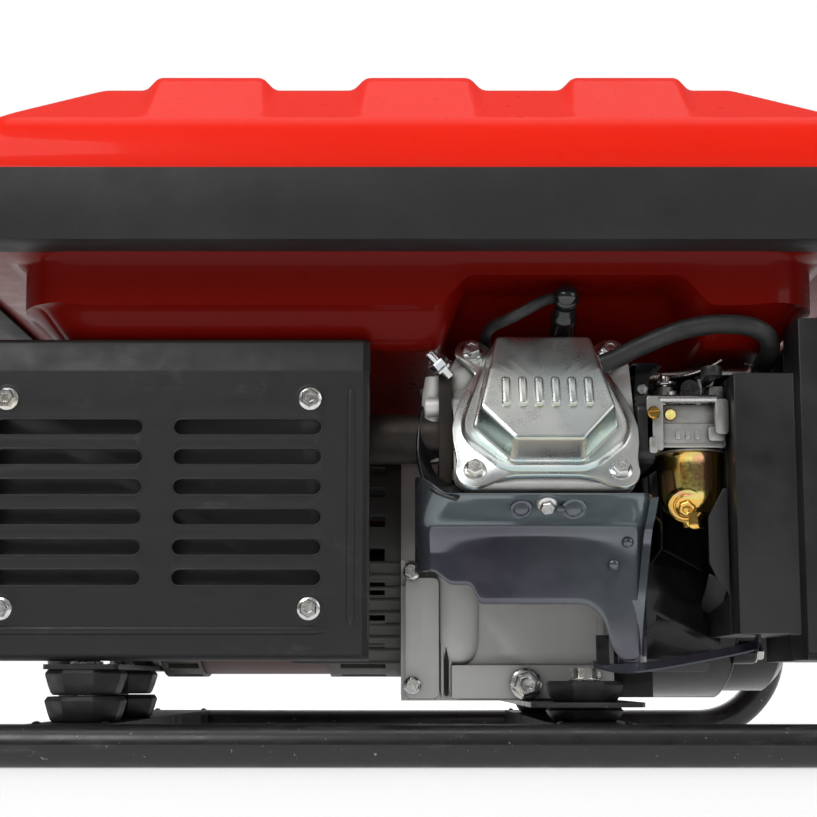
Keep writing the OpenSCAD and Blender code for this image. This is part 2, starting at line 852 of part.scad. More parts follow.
// Route of the breather hose from the side of the valve cover to the air box
hose_points = [
    [122.3, -171, 249], [127, -172.4, 251], [133, -174.3, 254], [145, -178, 259],
    [158, -182, 263.5], [170, -185.5, 266], [182, -188, 267], [193, -189.5, 266.5],
    [204, -189, 265], [213, -185, 261.5], [218, -177.5, 256.5], [219, -168, 251.6],
    [219, -160, 250.3], [219, -153.5, 249.8], [219, -150.4, 248], [219, -150, 245.5],
    [219, -150, 243.4]
];
module breather_hose() {
    color(rubber) swept_tube(hose_points, 6, 12);
}

// Route of the fuel line from the tap to the carburettor
fuel_points = [
    [-95.8, 60, 233], [-80, 60, 233], [-60, 58, 238], [-30, 52, 242], [0, 44, 243], [30, 34, 243],
    [60, 20, 243], [90, 6, 243], [115, -10, 243], [138, -30, 243], [156, -52, 241],
    [166, -74, 235], [169, -90, 226], [169, -98, 215], [169, -103, 204], [169, -109, 197],
    [169, -115, 195], [169, -119.8, 195]
];
module fuel_line() {
    color("#4a3b30") swept_tube(fuel_points, 4, 8);
}

// ---- Exhaust ----

module muffler() {
    x0 = -272;
    color("#2b2a29") {
        difference() {
            union() {
                along_y(-176, 56) translate([-162, 160]) rrect(218, 140, 26);
                for (s = [-1, 1]) along_y(-149, 4) translate([-162, 160]) rrect(226, 148, 28);
                for (sx = [-1, 1], sz = [-1, 1])
                    translate([guard_x + sx * guard_bolt[0], -183.5, 157 + sz * guard_bolt[1]])
                    rotate([-90, 0, 0]) cylinder(r = 9, h = 12);
                bar_x(-292, -150, 205, 30, 13);
                bar_x(-56, carb[1], carb[2], 7, 16);
            }
            along_y(-174, 52) translate([-162, 160]) rrect(214, 136, 24);
            bar_x(-300, -150, 205, 60, 11);
            bar_x(-60, carb[1], carb[2], 30, 13);
            for (sx = [-1, 1], sz = [-1, 1])
                translate([guard_x + sx * guard_bolt[0], -190, 157 + sz * guard_bolt[1]])
                rotate([-90, 0, 0]) cylinder(r = 3, h = 30);
        }
    }
}
module exhaust_pipe() {
    color("#6e625a") translate([0, carb[1], carb[2]]) difference() {
        union() {
            bar_x(-49, 0, 0, 70, 16);
            along_x(13, 8) rrect(44, 84, 12);
            for (s = [-1, 1]) translate([7, 0, s * 32]) rotate([0, 90, 0]) cylinder(r = 6.5, h = 6, $fn = 6);
        }
        bar_x(-60, 0, 0, 90, 13);
    }
}

module guard_slots() {
    for (s = [-1, 1], i = [0 : 5])
        translate([guard_x + s * column_x, slot_z + slot_pitch * (i - 2.5) - 1.5]) {
            square([slot_l - slot_h, slot_h], center = true);
            for (e = [-1, 1]) translate([e * (slot_l - slot_h) / 2, 0]) circle(slot_h / 2);
        }
}
module muffler_guard() {
    t = 1.5;
    color("#1c1c1d") difference() {
        union() {
            along_x(guard_x - guard_w / 2, guard_w) polygon([
                [-152, 246], [-176, 260.5], [guard_y, guard_z + guard_h + 8], [guard_y, 68],
                [-180, guard_z], [-173, guard_z], [-173, guard_z + t], [-180 + t / 2, guard_z + t],
                [guard_y + t, 68 + t / 2], [guard_y + t, guard_z + guard_h + 7.5],
                [-176 + t / 2, 260.5 - 1.2 * t], [-152, 246 - t]]);
            for (x = [guard_x - guard_w / 2, guard_x + guard_w / 2 - t])
                translate([x, guard_y + t - eps, 72]) cube([t, 19, 158]);
        }
        along_y(-190, 20) guard_slots();
        for (sx = [-1, 1], sz = [-1, 1])
            translate([guard_x + sx * guard_bolt[0], -190, 157 + sz * guard_bolt[1]])
                rotate([-90, 0, 0]) cylinder(r = 3.3, h = 20);
    }
}

// All the equal M6 flange bolts: valve cover and muffler guard
module flange_bolts() {
    color(zinc) {
        cylinder_frame() for (p = cover_ears)
            translate([p[0], p[1], head_top + 4]) flange_bolt(4);
        for (sx = [-1, 1], sz = [-1, 1])
            translate([guard_x + sx * guard_bolt[0], guard_y, 157 + sz * guard_bolt[1]])
                rotate([90, 0, 0]) flange_bolt(12);
    }
}

// ---- Alternator ----

stator_r = stator_d / 2 - 6;
module stator_core() {
    color("#7b3b2c") translate([0, crank[1], crank[2]]) difference() {
        bar_x(alt_x - stator_l, 0, 0, stator_l, stator_r);
        bar_x(alt_x - stator_l - 1, 0, 0, stator_l + 2, rotor_d / 2 + 0.6);
        for (i = [0 : 3]) rotate([45 + 90 * i, 0, 0]) bar_x(-200, 0, stator_r - 5, 160, 3.2);
    }
}
module stator_windings() {
    color("#a8a13c") for (x = [alt_x, alt_x - stator_l - 20])
        translate([x, crank[1], crank[2]]) rotate([0, 90, 0]) rotate_extrude()
            translate([64, 10]) rrect(20, 20, 6);
}
module alternator_rotor() {
    color("#8a4a36") translate([0, crank[1], crank[2]]) {
        bar_x(alt_x - stator_l, 0, 0, stator_l, rotor_d / 2);
        bar_x(-230, 0, 0, 230 + alt_x - stator_l, 8.5 - run);
        bar_x(alt_x, 0, 0, -14 - alt_x, 11);
        for (i = [0 : 9]) rotate([36 * i, 0, 0]) translate([-176, -1, 8]) cube([12, 2, 44]);
        bar_x(-180, 0, 0, 4, 50);
    }
}
module alternator_bells() {
    slots = 22;
    r = stator_r + 2;
    end_r = 68;
    color(cast_grey) translate([0, crank[1], crank[2]]) difference() {
        union() {
            bar_x(alt_x - 4, 0, 0, -11 - alt_x + 4, r);
            bar_x(-180, 0, 0, 32, r);
            bar_x(-262, 0, 0, 82, end_r);
            translate([-215, -40, -75]) cube([24, 96, 20]);
            for (i = [0 : 3]) rotate([45 + 90 * i, 0, 0]) bar_x(-190, 0, stator_r - 5, 150, 3);
        }
        // Room for the stator core, but for its four through bolts
        difference() {
            bar_x(alt_x - stator_l, 0, 0, stator_l, r + 5);
            for (i = [0 : 3]) rotate([45 + 90 * i, 0, 0]) bar_x(-190, 0, stator_r - 5, 150, 3);
        }
        bar_x(alt_x - 1, 0, 0, 44, r - 4);
        bar_x(-178, 0, 0, 27, r - 4);
        bar_x(-210, 0, 0, 40, end_r - 4);
        bar_x(-258, 0, 0, 28, end_r - 4);
        bar_x(-300, 0, 0, 400, 8.5);
        bar_x(alt_x, 0, 0, 60, journal_d / 2 + 1);
        for (i = [0 : slots - 1]) rotate([360 / slots * (i + 0.5), 0, 0]) {
            translate([alt_x + 8, -4.5, 60]) cube([32, 9, 30]);
            translate([-176, -4.5, 70]) cube([22, 9, 20]);
            translate([-264, -3, 30]) cube([6, 6, 24]);
        }
    }
}

// ---- Control panel ----

socket_x = [-225, -150];
socket_z = 150;
module control_panel() {
    color("#202224") difference() {
        union() {
            translate([panel_x - panel_w / 2, 150, panel_z]) cube([panel_w, panel_y - 150, panel_h]);
            translate([panel_x - panel_w / 2 - 5, panel_y + 0.5, panel_z - 5])
                cube([panel_w + 10, 2, band_z - panel_z + 5]);
            translate([panel_x - panel_w / 2, panel_y - eps, panel_z]) cube([panel_w, 0.6, panel_h]);
        }
        translate([panel_x - panel_w / 2 + 2, 145, panel_z + 2]) cube([panel_w - 4, 43, panel_h - 4]);
        for (x = socket_x) bar_y(x, 170, socket_z, 40, 22);
        translate([-208, 170, panel_row_z - 17]) cube([40, 40, 34]);
        translate([-62, 170, panel_row_z - 15]) cube([18, 40, 30]);
        bar_y(-85, 170, socket_z, 40, 6);
        bar_y(-20, 170, 105, 40, 3.1);
    }
}

// Two mains sockets, the voltmeter's case and a pair of DC terminals
module panel_fittings() {
    y = panel_y + 2.5;
    color("#1d1d1f") {
        for (x = socket_x) difference() {
            union() {
                bar_y(x, y, socket_z, 6, 28);
                bar_y(x, y - 22, socket_z, 22, 21.5);
                for (s = [-1, 1]) translate([x + s * 22 - 3, y, socket_z + 26]) cube([6, 11, 9]);
            }
            bar_y(x, y - 14, socket_z, 30, 17);
            for (s = [-1, 1]) bar_x(x + s * 22 - 5, y + 7.5, socket_z + 31, 10, 2);
            for (a = [90, 210, 330]) translate([x, 0, socket_z]) rotate([0, a, 0])
                bar_y(9, y - 30, 0, 30, 2.6);
        }
        difference() {
            union() {
                translate([-212, y, panel_row_z - 22]) cube([48, 6, 44]);
                translate([-207, y - 24, panel_row_z - 16]) cube([38, 25, 32]);
            }
            translate([-208, y + 2, panel_row_z - 18]) cube([40, 6, 36]);
        }
    }
    color("#b02020") bar_y(-100, y, panel_row_z, 12, 7);
    color("#111111") bar_y(-76, y, panel_row_z, 12, 7);
}
module socket_lid(x) {
    y = panel_y + 8.5 + gap;
    color("#26282a") {
        bar_y(x, y, socket_z, 4, 27);
        translate([x - 17, y, socket_z + 20]) cube([34, 4, 13]);
        bar_x(x - 26, y + 1.1, socket_z + 31, 52, 1.9);
        translate([x - 6, y + 4, socket_z - 27]) cube([12, 3, 4]);
    }
}
module socket_lid_left() {
    socket_lid(socket_x[0]);
}
module socket_lid_right() {
    socket_lid(socket_x[1]);
}
module voltmeter_needle() {
    color("#d9402a") translate([-188, panel_y + 4.5 + gap, panel_row_z - 14]) {
        bar_y(0, 0, 0, 2, 2.5);
        rotate([0, 45, 0]) translate([-0.6, 0, 0]) cube([1.2, 1, 24]);
    }
}
// Rocker switch
module engine_switch() {
    color("#b4201c") translate([-53, panel_y + 3, panel_row_z]) rotate([0, 90, 0])
        linear_extrude(16, center = true)
            polygon([[-11, -6], [-11, 5], [0, 2.5], [11, 8], [11, -6], [0, -9]]);
}
module breaker_button() {
    color("#e6e4de") {
        bar_y(-85, panel_y - 14, socket_z, 16.5, 5.6);
        bar_y(-85, panel_y + 2.5 + 4.5, socket_z, 5, 8);
        bar_y(-85, panel_y + 2.5, socket_z, 4.5, 5.6);
    }
}
// Earth stud with its wing nut
module ground_terminal() {
    y = panel_y + 2.5;
    color(zinc) {
        bar_y(-20, y - 14, 105, 25, 2.6);
        bar_y(-20, y + 10, 105, 8, 3);
        bar_y(-20, y, 105, 1.6, 8);
        bar_y(-20, y + 3, 105, 8, 6);
        translate([-32, y + 3.5, 102.5]) cube([24, 6, 5]);
    }
}

rear_frame_loop();
front_frame_loop();
cross_members();
top_band();
rubber_mounts();
mount_bolts();
mount_brackets();
flange_bolts();
tank_upper_shell();
tank_lower_shell();
fuel_strainer();
fuel_cap();
fuel_gauge();
gauge_needle();
fuel_tap();
fuel_tap_lever();
fuel_line();
crankcase();
crankcase_cover();
cylinder_barrel();
cylinder_head();
valve_cover();
spark_plug();
plug_cap();
plug_lead();
piston();
connecting_rod();
crankshaft();
flywheel();
fan_housing();
recoil_cover();
recoil_pulley();
recoil_handle();
cylinder_cowl();
drain_plug();
dipstick();
intake_insulator();
carburettor();
carburettor_bowl();
choke_lever();
throttle_lever();
air_box_base();
air_box_cover();
filter_element();
breather_hose();
muffler();
exhaust_pipe();
muffler_guard();
stator_core();
stator_windings();
alternator_rotor();
alternator_bells();
control_panel();
panel_fittings();
socket_lid_left();
socket_lid_right();
voltmeter_needle();
engine_switch();
breaker_button();
ground_terminal();
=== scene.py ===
import json
import math

import bmesh
import bpy
import numpy as np
from mathutils import Matrix, Vector


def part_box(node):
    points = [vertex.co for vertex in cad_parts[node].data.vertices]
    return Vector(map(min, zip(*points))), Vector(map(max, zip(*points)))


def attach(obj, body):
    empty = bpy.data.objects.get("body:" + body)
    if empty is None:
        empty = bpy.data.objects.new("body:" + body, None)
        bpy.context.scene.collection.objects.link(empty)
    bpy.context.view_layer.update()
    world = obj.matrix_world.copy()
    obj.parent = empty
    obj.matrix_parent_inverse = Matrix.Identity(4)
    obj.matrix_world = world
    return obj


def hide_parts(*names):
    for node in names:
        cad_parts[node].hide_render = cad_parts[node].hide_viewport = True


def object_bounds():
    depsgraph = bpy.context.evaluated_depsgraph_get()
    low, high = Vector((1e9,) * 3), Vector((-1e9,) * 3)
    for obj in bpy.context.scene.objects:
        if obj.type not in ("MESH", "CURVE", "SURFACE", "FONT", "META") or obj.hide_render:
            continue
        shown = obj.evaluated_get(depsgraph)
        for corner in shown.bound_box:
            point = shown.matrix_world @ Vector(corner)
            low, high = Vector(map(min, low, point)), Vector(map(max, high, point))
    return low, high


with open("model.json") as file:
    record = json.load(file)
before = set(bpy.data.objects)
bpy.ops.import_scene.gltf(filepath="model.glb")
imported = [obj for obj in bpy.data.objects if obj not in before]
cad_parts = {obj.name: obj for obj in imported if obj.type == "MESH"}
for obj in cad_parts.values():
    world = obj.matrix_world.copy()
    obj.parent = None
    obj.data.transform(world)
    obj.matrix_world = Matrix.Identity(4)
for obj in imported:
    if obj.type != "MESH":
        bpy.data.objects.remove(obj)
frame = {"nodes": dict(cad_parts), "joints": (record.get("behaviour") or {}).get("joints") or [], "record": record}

CAD_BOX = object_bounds()
MM = 0.001
NODES = frame["nodes"]


# ---- Measures taken from the frame, in millimetres ----

def span(node):
    """Lowest and highest corner of a CAD node, in millimetres."""
    low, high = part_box(node)
    return Vector(low) / MM, Vector(high) / MM


def joint(name):
    return next(j for j in frame["joints"] if j["name"] == name)


CRANK = Vector(joint("crank_spin")["pos_m"]) / MM
STROKE_AXIS = Vector(joint("piston_stroke")["axis"])
# Directions of the cylinder: u along the crank, n out of the head, v across its top
N_DIR = -STROKE_AXIS.normalized()
U_DIR = Vector((1, 0, 0))
V_DIR = N_DIR.cross(U_DIR)


# ---- Camera, light and stage ----

FOCAL_MM = 61.1
SENSOR_MM = 36
CAMERA_AT = (-0.006, -1.018, 0.050)
CAMERA_TILT = 6.5
CAMERA_SHIFT = 0.14


def make_camera():
    data = bpy.data.cameras.new("camera")
    data.sensor_width = SENSOR_MM
    data.lens = FOCAL_MM
    data.shift_y = CAMERA_SHIFT
    data.clip_start = 0.01
    camera = bpy.data.objects.new("camera", data)
    camera.location = CAMERA_AT
    camera.rotation_euler = (math.radians(90 + CAMERA_TILT), 0, 0)
    bpy.context.scene.collection.objects.link(camera)
    bpy.context.scene.camera = camera


# Soft boxes: name, place, size and power
LIGHTS = [("key", (-0.9, -1.5, 1.6), (1.2, 0.8), 15), ("fill", (1.5, -1.2, 1.0), (0.8, 1.0), 4.5),
          ("top", (0, -0.25, 1.9), (1.6, 1.0), 9), ("back", (0.3, 1.7, 1.1), (1.4, 0.8), 8)]
LIGHT_TARGET = (0, 0, 0.22)


def area_light(name, at, size, power):
    data = bpy.data.lights.new(name, "AREA")
    data.shape = "RECTANGLE"
    data.size, data.size_y = size
    data.energy = power
    light = bpy.data.objects.new(name, data)
    light.location = at
    aim = Vector(LIGHT_TARGET) - Vector(at)
    light.rotation_euler = aim.to_track_quat("-Z", "Y").to_euler()
    bpy.context.scene.collection.objects.link(light)


FLOOR_RADIUS = 4.0
FLOOR_GLOW = 0.42
WORLD_STRENGTH = 0.36


def make_world():
    """White to the camera; a softer surround, brighter above, for light and reflections."""
    world = bpy.data.worlds.new("studio")
    bpy.context.scene.world = world
    world.use_nodes = True
    nt = world.node_tree
    nt.nodes.clear()
    out, mix, path, seen, around, coords, split, ramp, shift = (
        nt.nodes.new("ShaderNode" + kind) for kind in
        ("OutputWorld", "MixShader", "LightPath", "Background", "Background", "TexCoord", "SeparateXYZ",
         "ValToRGB", "MapRange"))
    seen.inputs["Color"].default_value = (1, 1, 1, 1)
    seen.inputs["Strength"].default_value = 1.0
    around.inputs["Strength"].default_value = WORLD_STRENGTH
    low, high = ramp.color_ramp.elements
    low.position, low.color = 0.42, (0.12, 0.12, 0.125, 1)
    high.position, high.color = 0.95, (1, 1, 1, 1)
    shift.inputs["From Min"].default_value = -1
    shift.inputs["From Max"].default_value = 1
    for a, b in ((coords.outputs["Generated"], split.inputs[0]),
                 (split.outputs["Z"], shift.inputs["Value"]),
                 (shift.outputs["Result"], ramp.inputs["Fac"]),
                 (ramp.outputs["Color"], around.inputs["Color"]),
                 (path.outputs["Is Camera Ray"], mix.inputs["Fac"]),
                 (around.outputs[0], mix.inputs[1]),
                 (seen.outputs[0], mix.inputs[2]),
                 (mix.outputs[0], out.inputs["Surface"])):
        nt.links.new(a, b)


def make_floor():
    """A pale disc that glows towards the white of the background farther out."""
    bm = bmesh.new()
    bmesh.ops.create_circle(bm, cap_ends=True, radius=FLOOR_RADIUS, segments=96)
    mesh = bpy.data.meshes.new("floor")
    bm.to_mesh(mesh)
    bm.free()
    floor = bpy.data.objects.new("floor", mesh)
    bpy.context.scene.collection.objects.link(floor)
    m = bpy.data.materials.new("floor")
    m.use_nodes = True
    tree = m.node_tree
    shader = tree.nodes["Principled BSDF"]
    for socket, value in (("Base Color", (0.78, 0.78, 0.78, 1)), ("Roughness", 0.75),
                          ("Specular IOR Level", 0.1),
                          ("Emission Color", (1, 1, 1, 1)), ("Emission Strength", FLOOR_GLOW)):
        shader.inputs[socket].default_value = value
    coords = tree.nodes.new("ShaderNodeTexCoord")
    length = tree.nodes.new("ShaderNodeVectorMath")
    length.operation = "LENGTH"
    fade = tree.nodes.new("ShaderNodeMapRange")
    fade.interpolation_type = "SMOOTHSTEP"
    for socket, value in (("From Min", 0.5), ("From Max", 2.2), ("To Min", FLOOR_GLOW), ("To Max", 1.0)):
        fade.inputs[socket].default_value = value
    tree.links.new(coords.outputs["Object"], length.inputs[0])
    tree.links.new(length.outputs["Value"], fade.inputs["Value"])
    tree.links.new(fade.outputs["Result"], shader.inputs["Emission Strength"])
    mesh.materials.append(m)


def make_studio():
    make_world()
    make_floor()
    for name, at, size, power in LIGHTS:
        area_light(name, at, size, power)
    view = bpy.context.scene.view_settings
    view.view_transform = "Standard"
    view.look = "None"


# ---- Materials ----

class Shader:
    """A Principled material with short helpers for its procedural nodes."""

    def __init__(self, name, colour, rough, metal=0.0, **sockets):
        self.material = bpy.data.materials.new(name)
        self.material.use_nodes = True
        self.tree = self.material.node_tree
        self.bsdf = self.tree.nodes["Principled BSDF"]
        self.set("Base Color", (*colour, 1))
        self.set("Roughness", rough)
        self.set("Metallic", metal)
        for key, value in sockets.items():
            self.set(key.replace("_", " "), value)
        self.coords = self.node("ShaderNodeTexCoord").outputs["Object"]
        self.height = None

    def set(self, socket, value):
        self.bsdf.inputs[socket].default_value = value

    def node(self, kind, **values):
        n = self.tree.nodes.new(kind)
        for key, value in values.items():
            setattr(n, key, value)
        return n

    def link(self, a, b):
        self.tree.links.new(a, b)

    def stretched(self, scale):
        """Object coordinates scaled by a factor for each axis."""
        n = self.node("ShaderNodeMapping")
        n.inputs["Scale"].default_value = scale
        self.link(self.coords, n.inputs["Vector"])
        return n.outputs["Vector"]

    def noise(self, scale, detail=3.0, rough=0.55, stretch=None, distort=0.0):
        n = self.node("ShaderNodeTexNoise")
        n.inputs["Scale"].default_value = scale
        n.inputs["Detail"].default_value = detail
        n.inputs["Roughness"].default_value = rough
        n.inputs["Distortion"].default_value = distort
        self.link(self.stretched(stretch) if stretch else self.coords, n.inputs["Vector"])
        return n.outputs["Fac"]

    def spread(self, value, low, high, to_low=0.0, to_high=1.0):
        n = self.node("ShaderNodeMapRange")
        n.inputs["From Min"].default_value = low
        n.inputs["From Max"].default_value = high
        n.inputs["To Min"].default_value = to_low
        n.inputs["To Max"].default_value = to_high
        self.link(value, n.inputs["Value"])
        return n.outputs["Result"]

    def times(self, a, b):
        n = self.node("ShaderNodeMath", operation="MULTIPLY")
        self.link(a, n.inputs[0])
        if isinstance(b, float):
            n.inputs[1].default_value = b
        else:
            self.link(b, n.inputs[1])
        return n.outputs[0]

    def ramp(self, value, stops):
        n = self.node("ShaderNodeValToRGB")
        elements = n.color_ramp.elements
        while len(elements) < len(stops):
            elements.new(0.5)
        for e, (at, colour) in zip(elements, stops):
            e.position = at
            e.color = (*colour, 1)
        self.link(value, n.inputs["Fac"])
        return n.outputs["Color"]

    def mixed(self, fac, a, b):
        """Colour a where fac is 0 and b where it is 1; a and b are colours or outputs."""
        n = self.node("ShaderNodeMix", data_type="RGBA")
        self.link(fac, n.inputs["Factor"])
        for value, socket in ((a, n.inputs[6]), (b, n.inputs[7])):
            if isinstance(value, tuple):
                socket.default_value = (*value, 1)
            else:
                self.link(value, socket)
        return n.outputs[2]

    def edges(self, radius_mm, low=0.02, high=0.3):
        """1 on convex and concave edges, 0 on flat ground."""
        bevel = self.node("ShaderNodeBevel", samples=4)
        bevel.inputs["Radius"].default_value = radius_mm * MM
        geometry = self.node("ShaderNodeNewGeometry")
        dot = self.node("ShaderNodeVectorMath", operation="DOT_PRODUCT")
        self.link(bevel.outputs[0], dot.inputs[0])
        self.link(geometry.outputs["Normal"], dot.inputs[1])
        return self.spread(dot.outputs["Value"], 1 - low, 1 - high)

    def hollows(self, distance_mm, low=0.35, high=0.9):
        """1 deep in corners and crevices, 0 in the open."""
        n = self.node("ShaderNodeAmbientOcclusion", samples=4)
        n.inputs["Distance"].default_value = distance_mm * MM
        return self.spread(n.outputs["AO"], high, low)

    def facing_up(self):
        """Z of the surface's normal."""
        split = self.node("ShaderNodeSeparateXYZ")
        self.link(self.node("ShaderNodeNewGeometry").outputs["Normal"], split.inputs[0])
        return split.outputs["Z"]

    def colour(self, output):
        self.link(output, self.bsdf.inputs["Base Color"])

    def rough(self, output):
        self.link(output, self.bsdf.inputs["Roughness"])

    def bump(self, value, depth_mm, strength=1.0):
        n = self.node("ShaderNodeBump")
        n.inputs["Distance"].default_value = depth_mm * MM
        n.inputs["Strength"].default_value = strength
        self.link(value, n.inputs["Height"])
        if self.height is not None:
            self.link(self.height, n.inputs["Normal"])
        self.height = n.outputs["Normal"]
        self.link(self.height, self.bsdf.inputs["Normal"])
        return self


def frame_paint():
    """Satin black paint on the tube, rubbed and chipped along the rail."""
    s = Shader("frame_paint", (0.012, 0.012, 0.013), 0.32, Coat_Weight=0.25, Coat_Roughness=0.2)
    scuff = s.spread(s.noise(26, 6, 0.7, stretch=(0.5, 3, 3)), 0.56, 0.72)
    chips = s.spread(s.noise(260, 4, 0.6), 0.69, 0.72)
    worn = s.mixed(scuff, (0.010, 0.010, 0.011), (0.055, 0.055, 0.056))
    s.colour(s.mixed(chips, worn, (0.30, 0.28, 0.26)))
    s.rough(s.spread(s.noise(60, 5), 0.3, 0.75, 0.24, 0.5))
    s.bump(s.noise(900, 2), 0.05, 0.35)
    s.bump(s.noise(45, 4), 0.4, 0.15)
    return s.material


def zinc():
    """Bright zinc plate with faint blue and yellow tints."""
    s = Shader("zinc_plate", (0.66, 0.67, 0.68), 0.24, 1.0)
    tint = s.ramp(s.noise(55, 4, 0.6), [(0.3, (0.60, 0.63, 0.68)), (0.5, (0.70, 0.70, 0.69)),
                                         (0.7, (0.70, 0.66, 0.56))])
    s.colour(tint)
    s.rough(s.spread(s.noise(300, 4), 0.3, 0.75, 0.16, 0.40))
    s.bump(s.noise(700, 3), 0.05, 0.3)
    return s.material


def passivated():
    """Zinc-plated pressed steel, tinted by noise; walls that face down are painted in shade, darker and tinted
    teal, straw and blue.
    """
    s = Shader("passivated_steel", (0.74, 0.75, 0.73), 0.26, 1.0)
    tint = s.ramp(s.noise(9, 2, 0.5, distort=0.6), [(0.30, (0.62, 0.68, 0.67)), (0.5, (0.78, 0.79, 0.75)),
                                                     (0.70, (0.70, 0.73, 0.72))])
    # Painted shade: the more a wall faces down, the darker and more teal, straw and blue its colour.
    down = s.spread(s.facing_up(), 0.15, -0.95)
    tint_field = s.ramp(down,
                  [(0.30, (0.74, 0.76, 0.72)), (0.52, (0.42, 0.60, 0.62)), (0.66, (0.56, 0.62, 0.48)),
                         (0.80, (0.64, 0.54, 0.40)), (0.92, (0.32, 0.46, 0.58))])
    s.colour(s.mixed(s.spread(down, 0.30, 0.55, 0.0, 0.85), tint, tint_field))
    s.rough(s.spread(s.noise(60, 5, 0.65), 0.3, 0.75, 0.24, 0.36))
    s.bump(s.noise(26, 2), 0.4, 0.07)
    return s.material


def gold_bowl():
    """Yellow passivate on the float bowl, turning green and pink where it is thick."""
    s = Shader("gold_passivate", (0.75, 0.52, 0.14), 0.16, 1.0)
    tint_field = s.noise(40, 3, 0.5, distort=1.0)
    s.colour(s.ramp(tint_field,
                    [(0.32, (0.80, 0.60, 0.16)), (0.46, (0.86, 0.50, 0.12)), (0.55, (0.70, 0.62, 0.20)),
                           (0.66, (0.78, 0.42, 0.22))]))
    s.rough(s.spread(s.noise(500, 3), 0.3, 0.7, 0.10, 0.26))
    s.bump(s.noise(600, 2), 0.03, 0.3)
    return s.material


def cast_aluminium():
    """Sand-cast aluminium: grainy, dull, with painted shade in the corners and bright on rubbed edges."""
    s = Shader("cast_aluminium", (0.6, 0.6, 0.59), 0.5, 0.35)
    patch = s.mixed(s.noise(16, 5, 0.6), (0.60, 0.595, 0.58), (0.78, 0.775, 0.75))
    # Painted shade: an occlusion mask darkens the colour to near black in corners and crevices.
    corner_shade = s.mixed(s.hollows(9), patch, (0.13, 0.125, 0.112))
    s.colour(s.mixed(s.times(s.edges(1.2), 0.6), corner_shade, (0.72, 0.72, 0.71)))
    s.rough(s.spread(s.noise(120, 4), 0.25, 0.75, 0.40, 0.64))
    s.bump(s.noise(1100, 3, 0.65), 0.14, 0.6)
    s.bump(s.noise(210, 3, 0.6), 0.25, 0.25)
    return s.material


def bell_casting():
    """The alternator's castings, painted dark grey over the grain."""
    s = Shader("bell_casting", (0.09, 0.09, 0.087), 0.5, 0.3)
    patch = s.mixed(s.noise(16, 5, 0.6), (0.07, 0.07, 0.067), (0.13, 0.128, 0.12))
    s.colour(s.mixed(s.times(s.edges(1.2), 0.5), patch, (0.32, 0.32, 0.31)))
    s.rough(s.spread(s.noise(120, 4), 0.25, 0.75, 0.40, 0.62))
    s.bump(s.noise(900, 3, 0.65), 0.12, 0.5)
    return s.material


def die_cast():
    s = Shader("die_cast", (0.50, 0.50, 0.49), 0.42, 0.9)
    patch = s.mixed(s.noise(45, 5, 0.6), (0.40, 0.40, 0.385), (0.60, 0.595, 0.57))
    # Painted shade: an occlusion mask darkens the colour to near black in corners and crevices.
    s.colour(s.mixed(s.hollows(6), patch, (0.10, 0.092, 0.08)))
    s.rough(s.spread(s.noise(200, 4), 0.3, 0.75, 0.32, 0.56))
    s.bump(s.noise(900, 3), 0.08, 0.5)
    return s.material


def blued_steel():
    """Dark blue-black enamel of the cowl, thin enough to shift in hue, with a painted reflection on the faces that
    look down.
    """
    s = Shader("blued_steel", (0.035, 0.045, 0.058), 0.2, 0.5, Coat_Weight=0.8, Coat_Roughness=0.08)
    hue = s.ramp(s.noise(7, 2, 0.5, distort=0.6),
                 [(0.3, (0.045, 0.060, 0.080)), (0.5, (0.095, 0.110, 0.125)),
                                                   (0.7, (0.062, 0.058, 0.085))])
    # Painted reflection: faces turned down, like the ledge's underside, are mixed to a light blue-grey.
    s.colour(s.mixed(s.spread(s.facing_up(), -0.45, -0.9), hue, (0.22, 0.27, 0.285)))
    s.rough(s.spread(s.noise(60, 4), 0.3, 0.8, 0.10, 0.24))
    s.bump(s.noise(9, 2), 1.0, 0.12)
    s.bump(s.noise(240, 2), 0.05, 0.12)
    return s.material


def heat_black():
    """Heat-resistant matt black, rubbed pale along its edges and scuffed."""
    s = Shader("heat_black", (0.014, 0.014, 0.014), 0.50)
    scuff = s.spread(s.noise(19, 7, 0.75, stretch=(1, 1, 2.5)), 0.58, 0.74)
    ground = s.mixed(scuff, (0.011, 0.011, 0.011), (0.036, 0.035, 0.034))
    rub = s.times(s.edges(0.9, 0.03, 0.4), s.spread(s.noise(80, 4), 0.45, 0.65))
    s.colour(s.mixed(rub, ground, (0.10, 0.10, 0.10)))
    s.rough(s.spread(s.noise(60, 5), 0.3, 0.8, 0.40, 0.60))
    s.bump(s.noise(1300, 3, 0.6), 0.07, 0.5)
    s.bump(s.noise(14, 3), 0.8, 0.10)
    return s.material


def hot_steel():
    """Bare pipe steel tinted by heat."""
    s = Shader("hot_steel", (0.06, 0.05, 0.045), 0.5, 0.6)
    s.colour(s.ramp(s.noise(24, 4), [(0.3, (0.016, 0.014, 0.013)), (0.5, (0.040, 0.031, 0.024)),
                                     (0.7, (0.022, 0.020, 0.024))]))
    s.rough(s.spread(s.noise(90, 4), 0.3, 0.7, 0.34, 0.60))
    s.bump(s.noise(700, 4), 0.10, 0.5)
    return s.material


def plain(name, colour, rough, tones=None, spread=None, roughen=None, bumps=(), metal=0.0, **sockets):
    """A finish of two tones mixed by noise, with uneven roughness and fine bumps."""
    s = Shader(name, colour, rough, metal, **sockets)
    if tones:
        grain, low, high = tones
        fac = s.noise(*grain[:3], stretch=grain[3] if len(grain) > 3 else None)
        s.colour(s.mixed(s.spread(fac, *spread) if spread else fac, low, high))
    if roughen:
        grain, *limits = roughen
        s.rough(s.spread(s.noise(*grain[:3], stretch=grain[3] if len(grain) > 3 else None), *limits))
    for grain, depth, strength in bumps:
        s.bump(s.noise(*grain[:3], stretch=grain[3] if len(grain) > 3 else None), depth, strength)
    return s.material


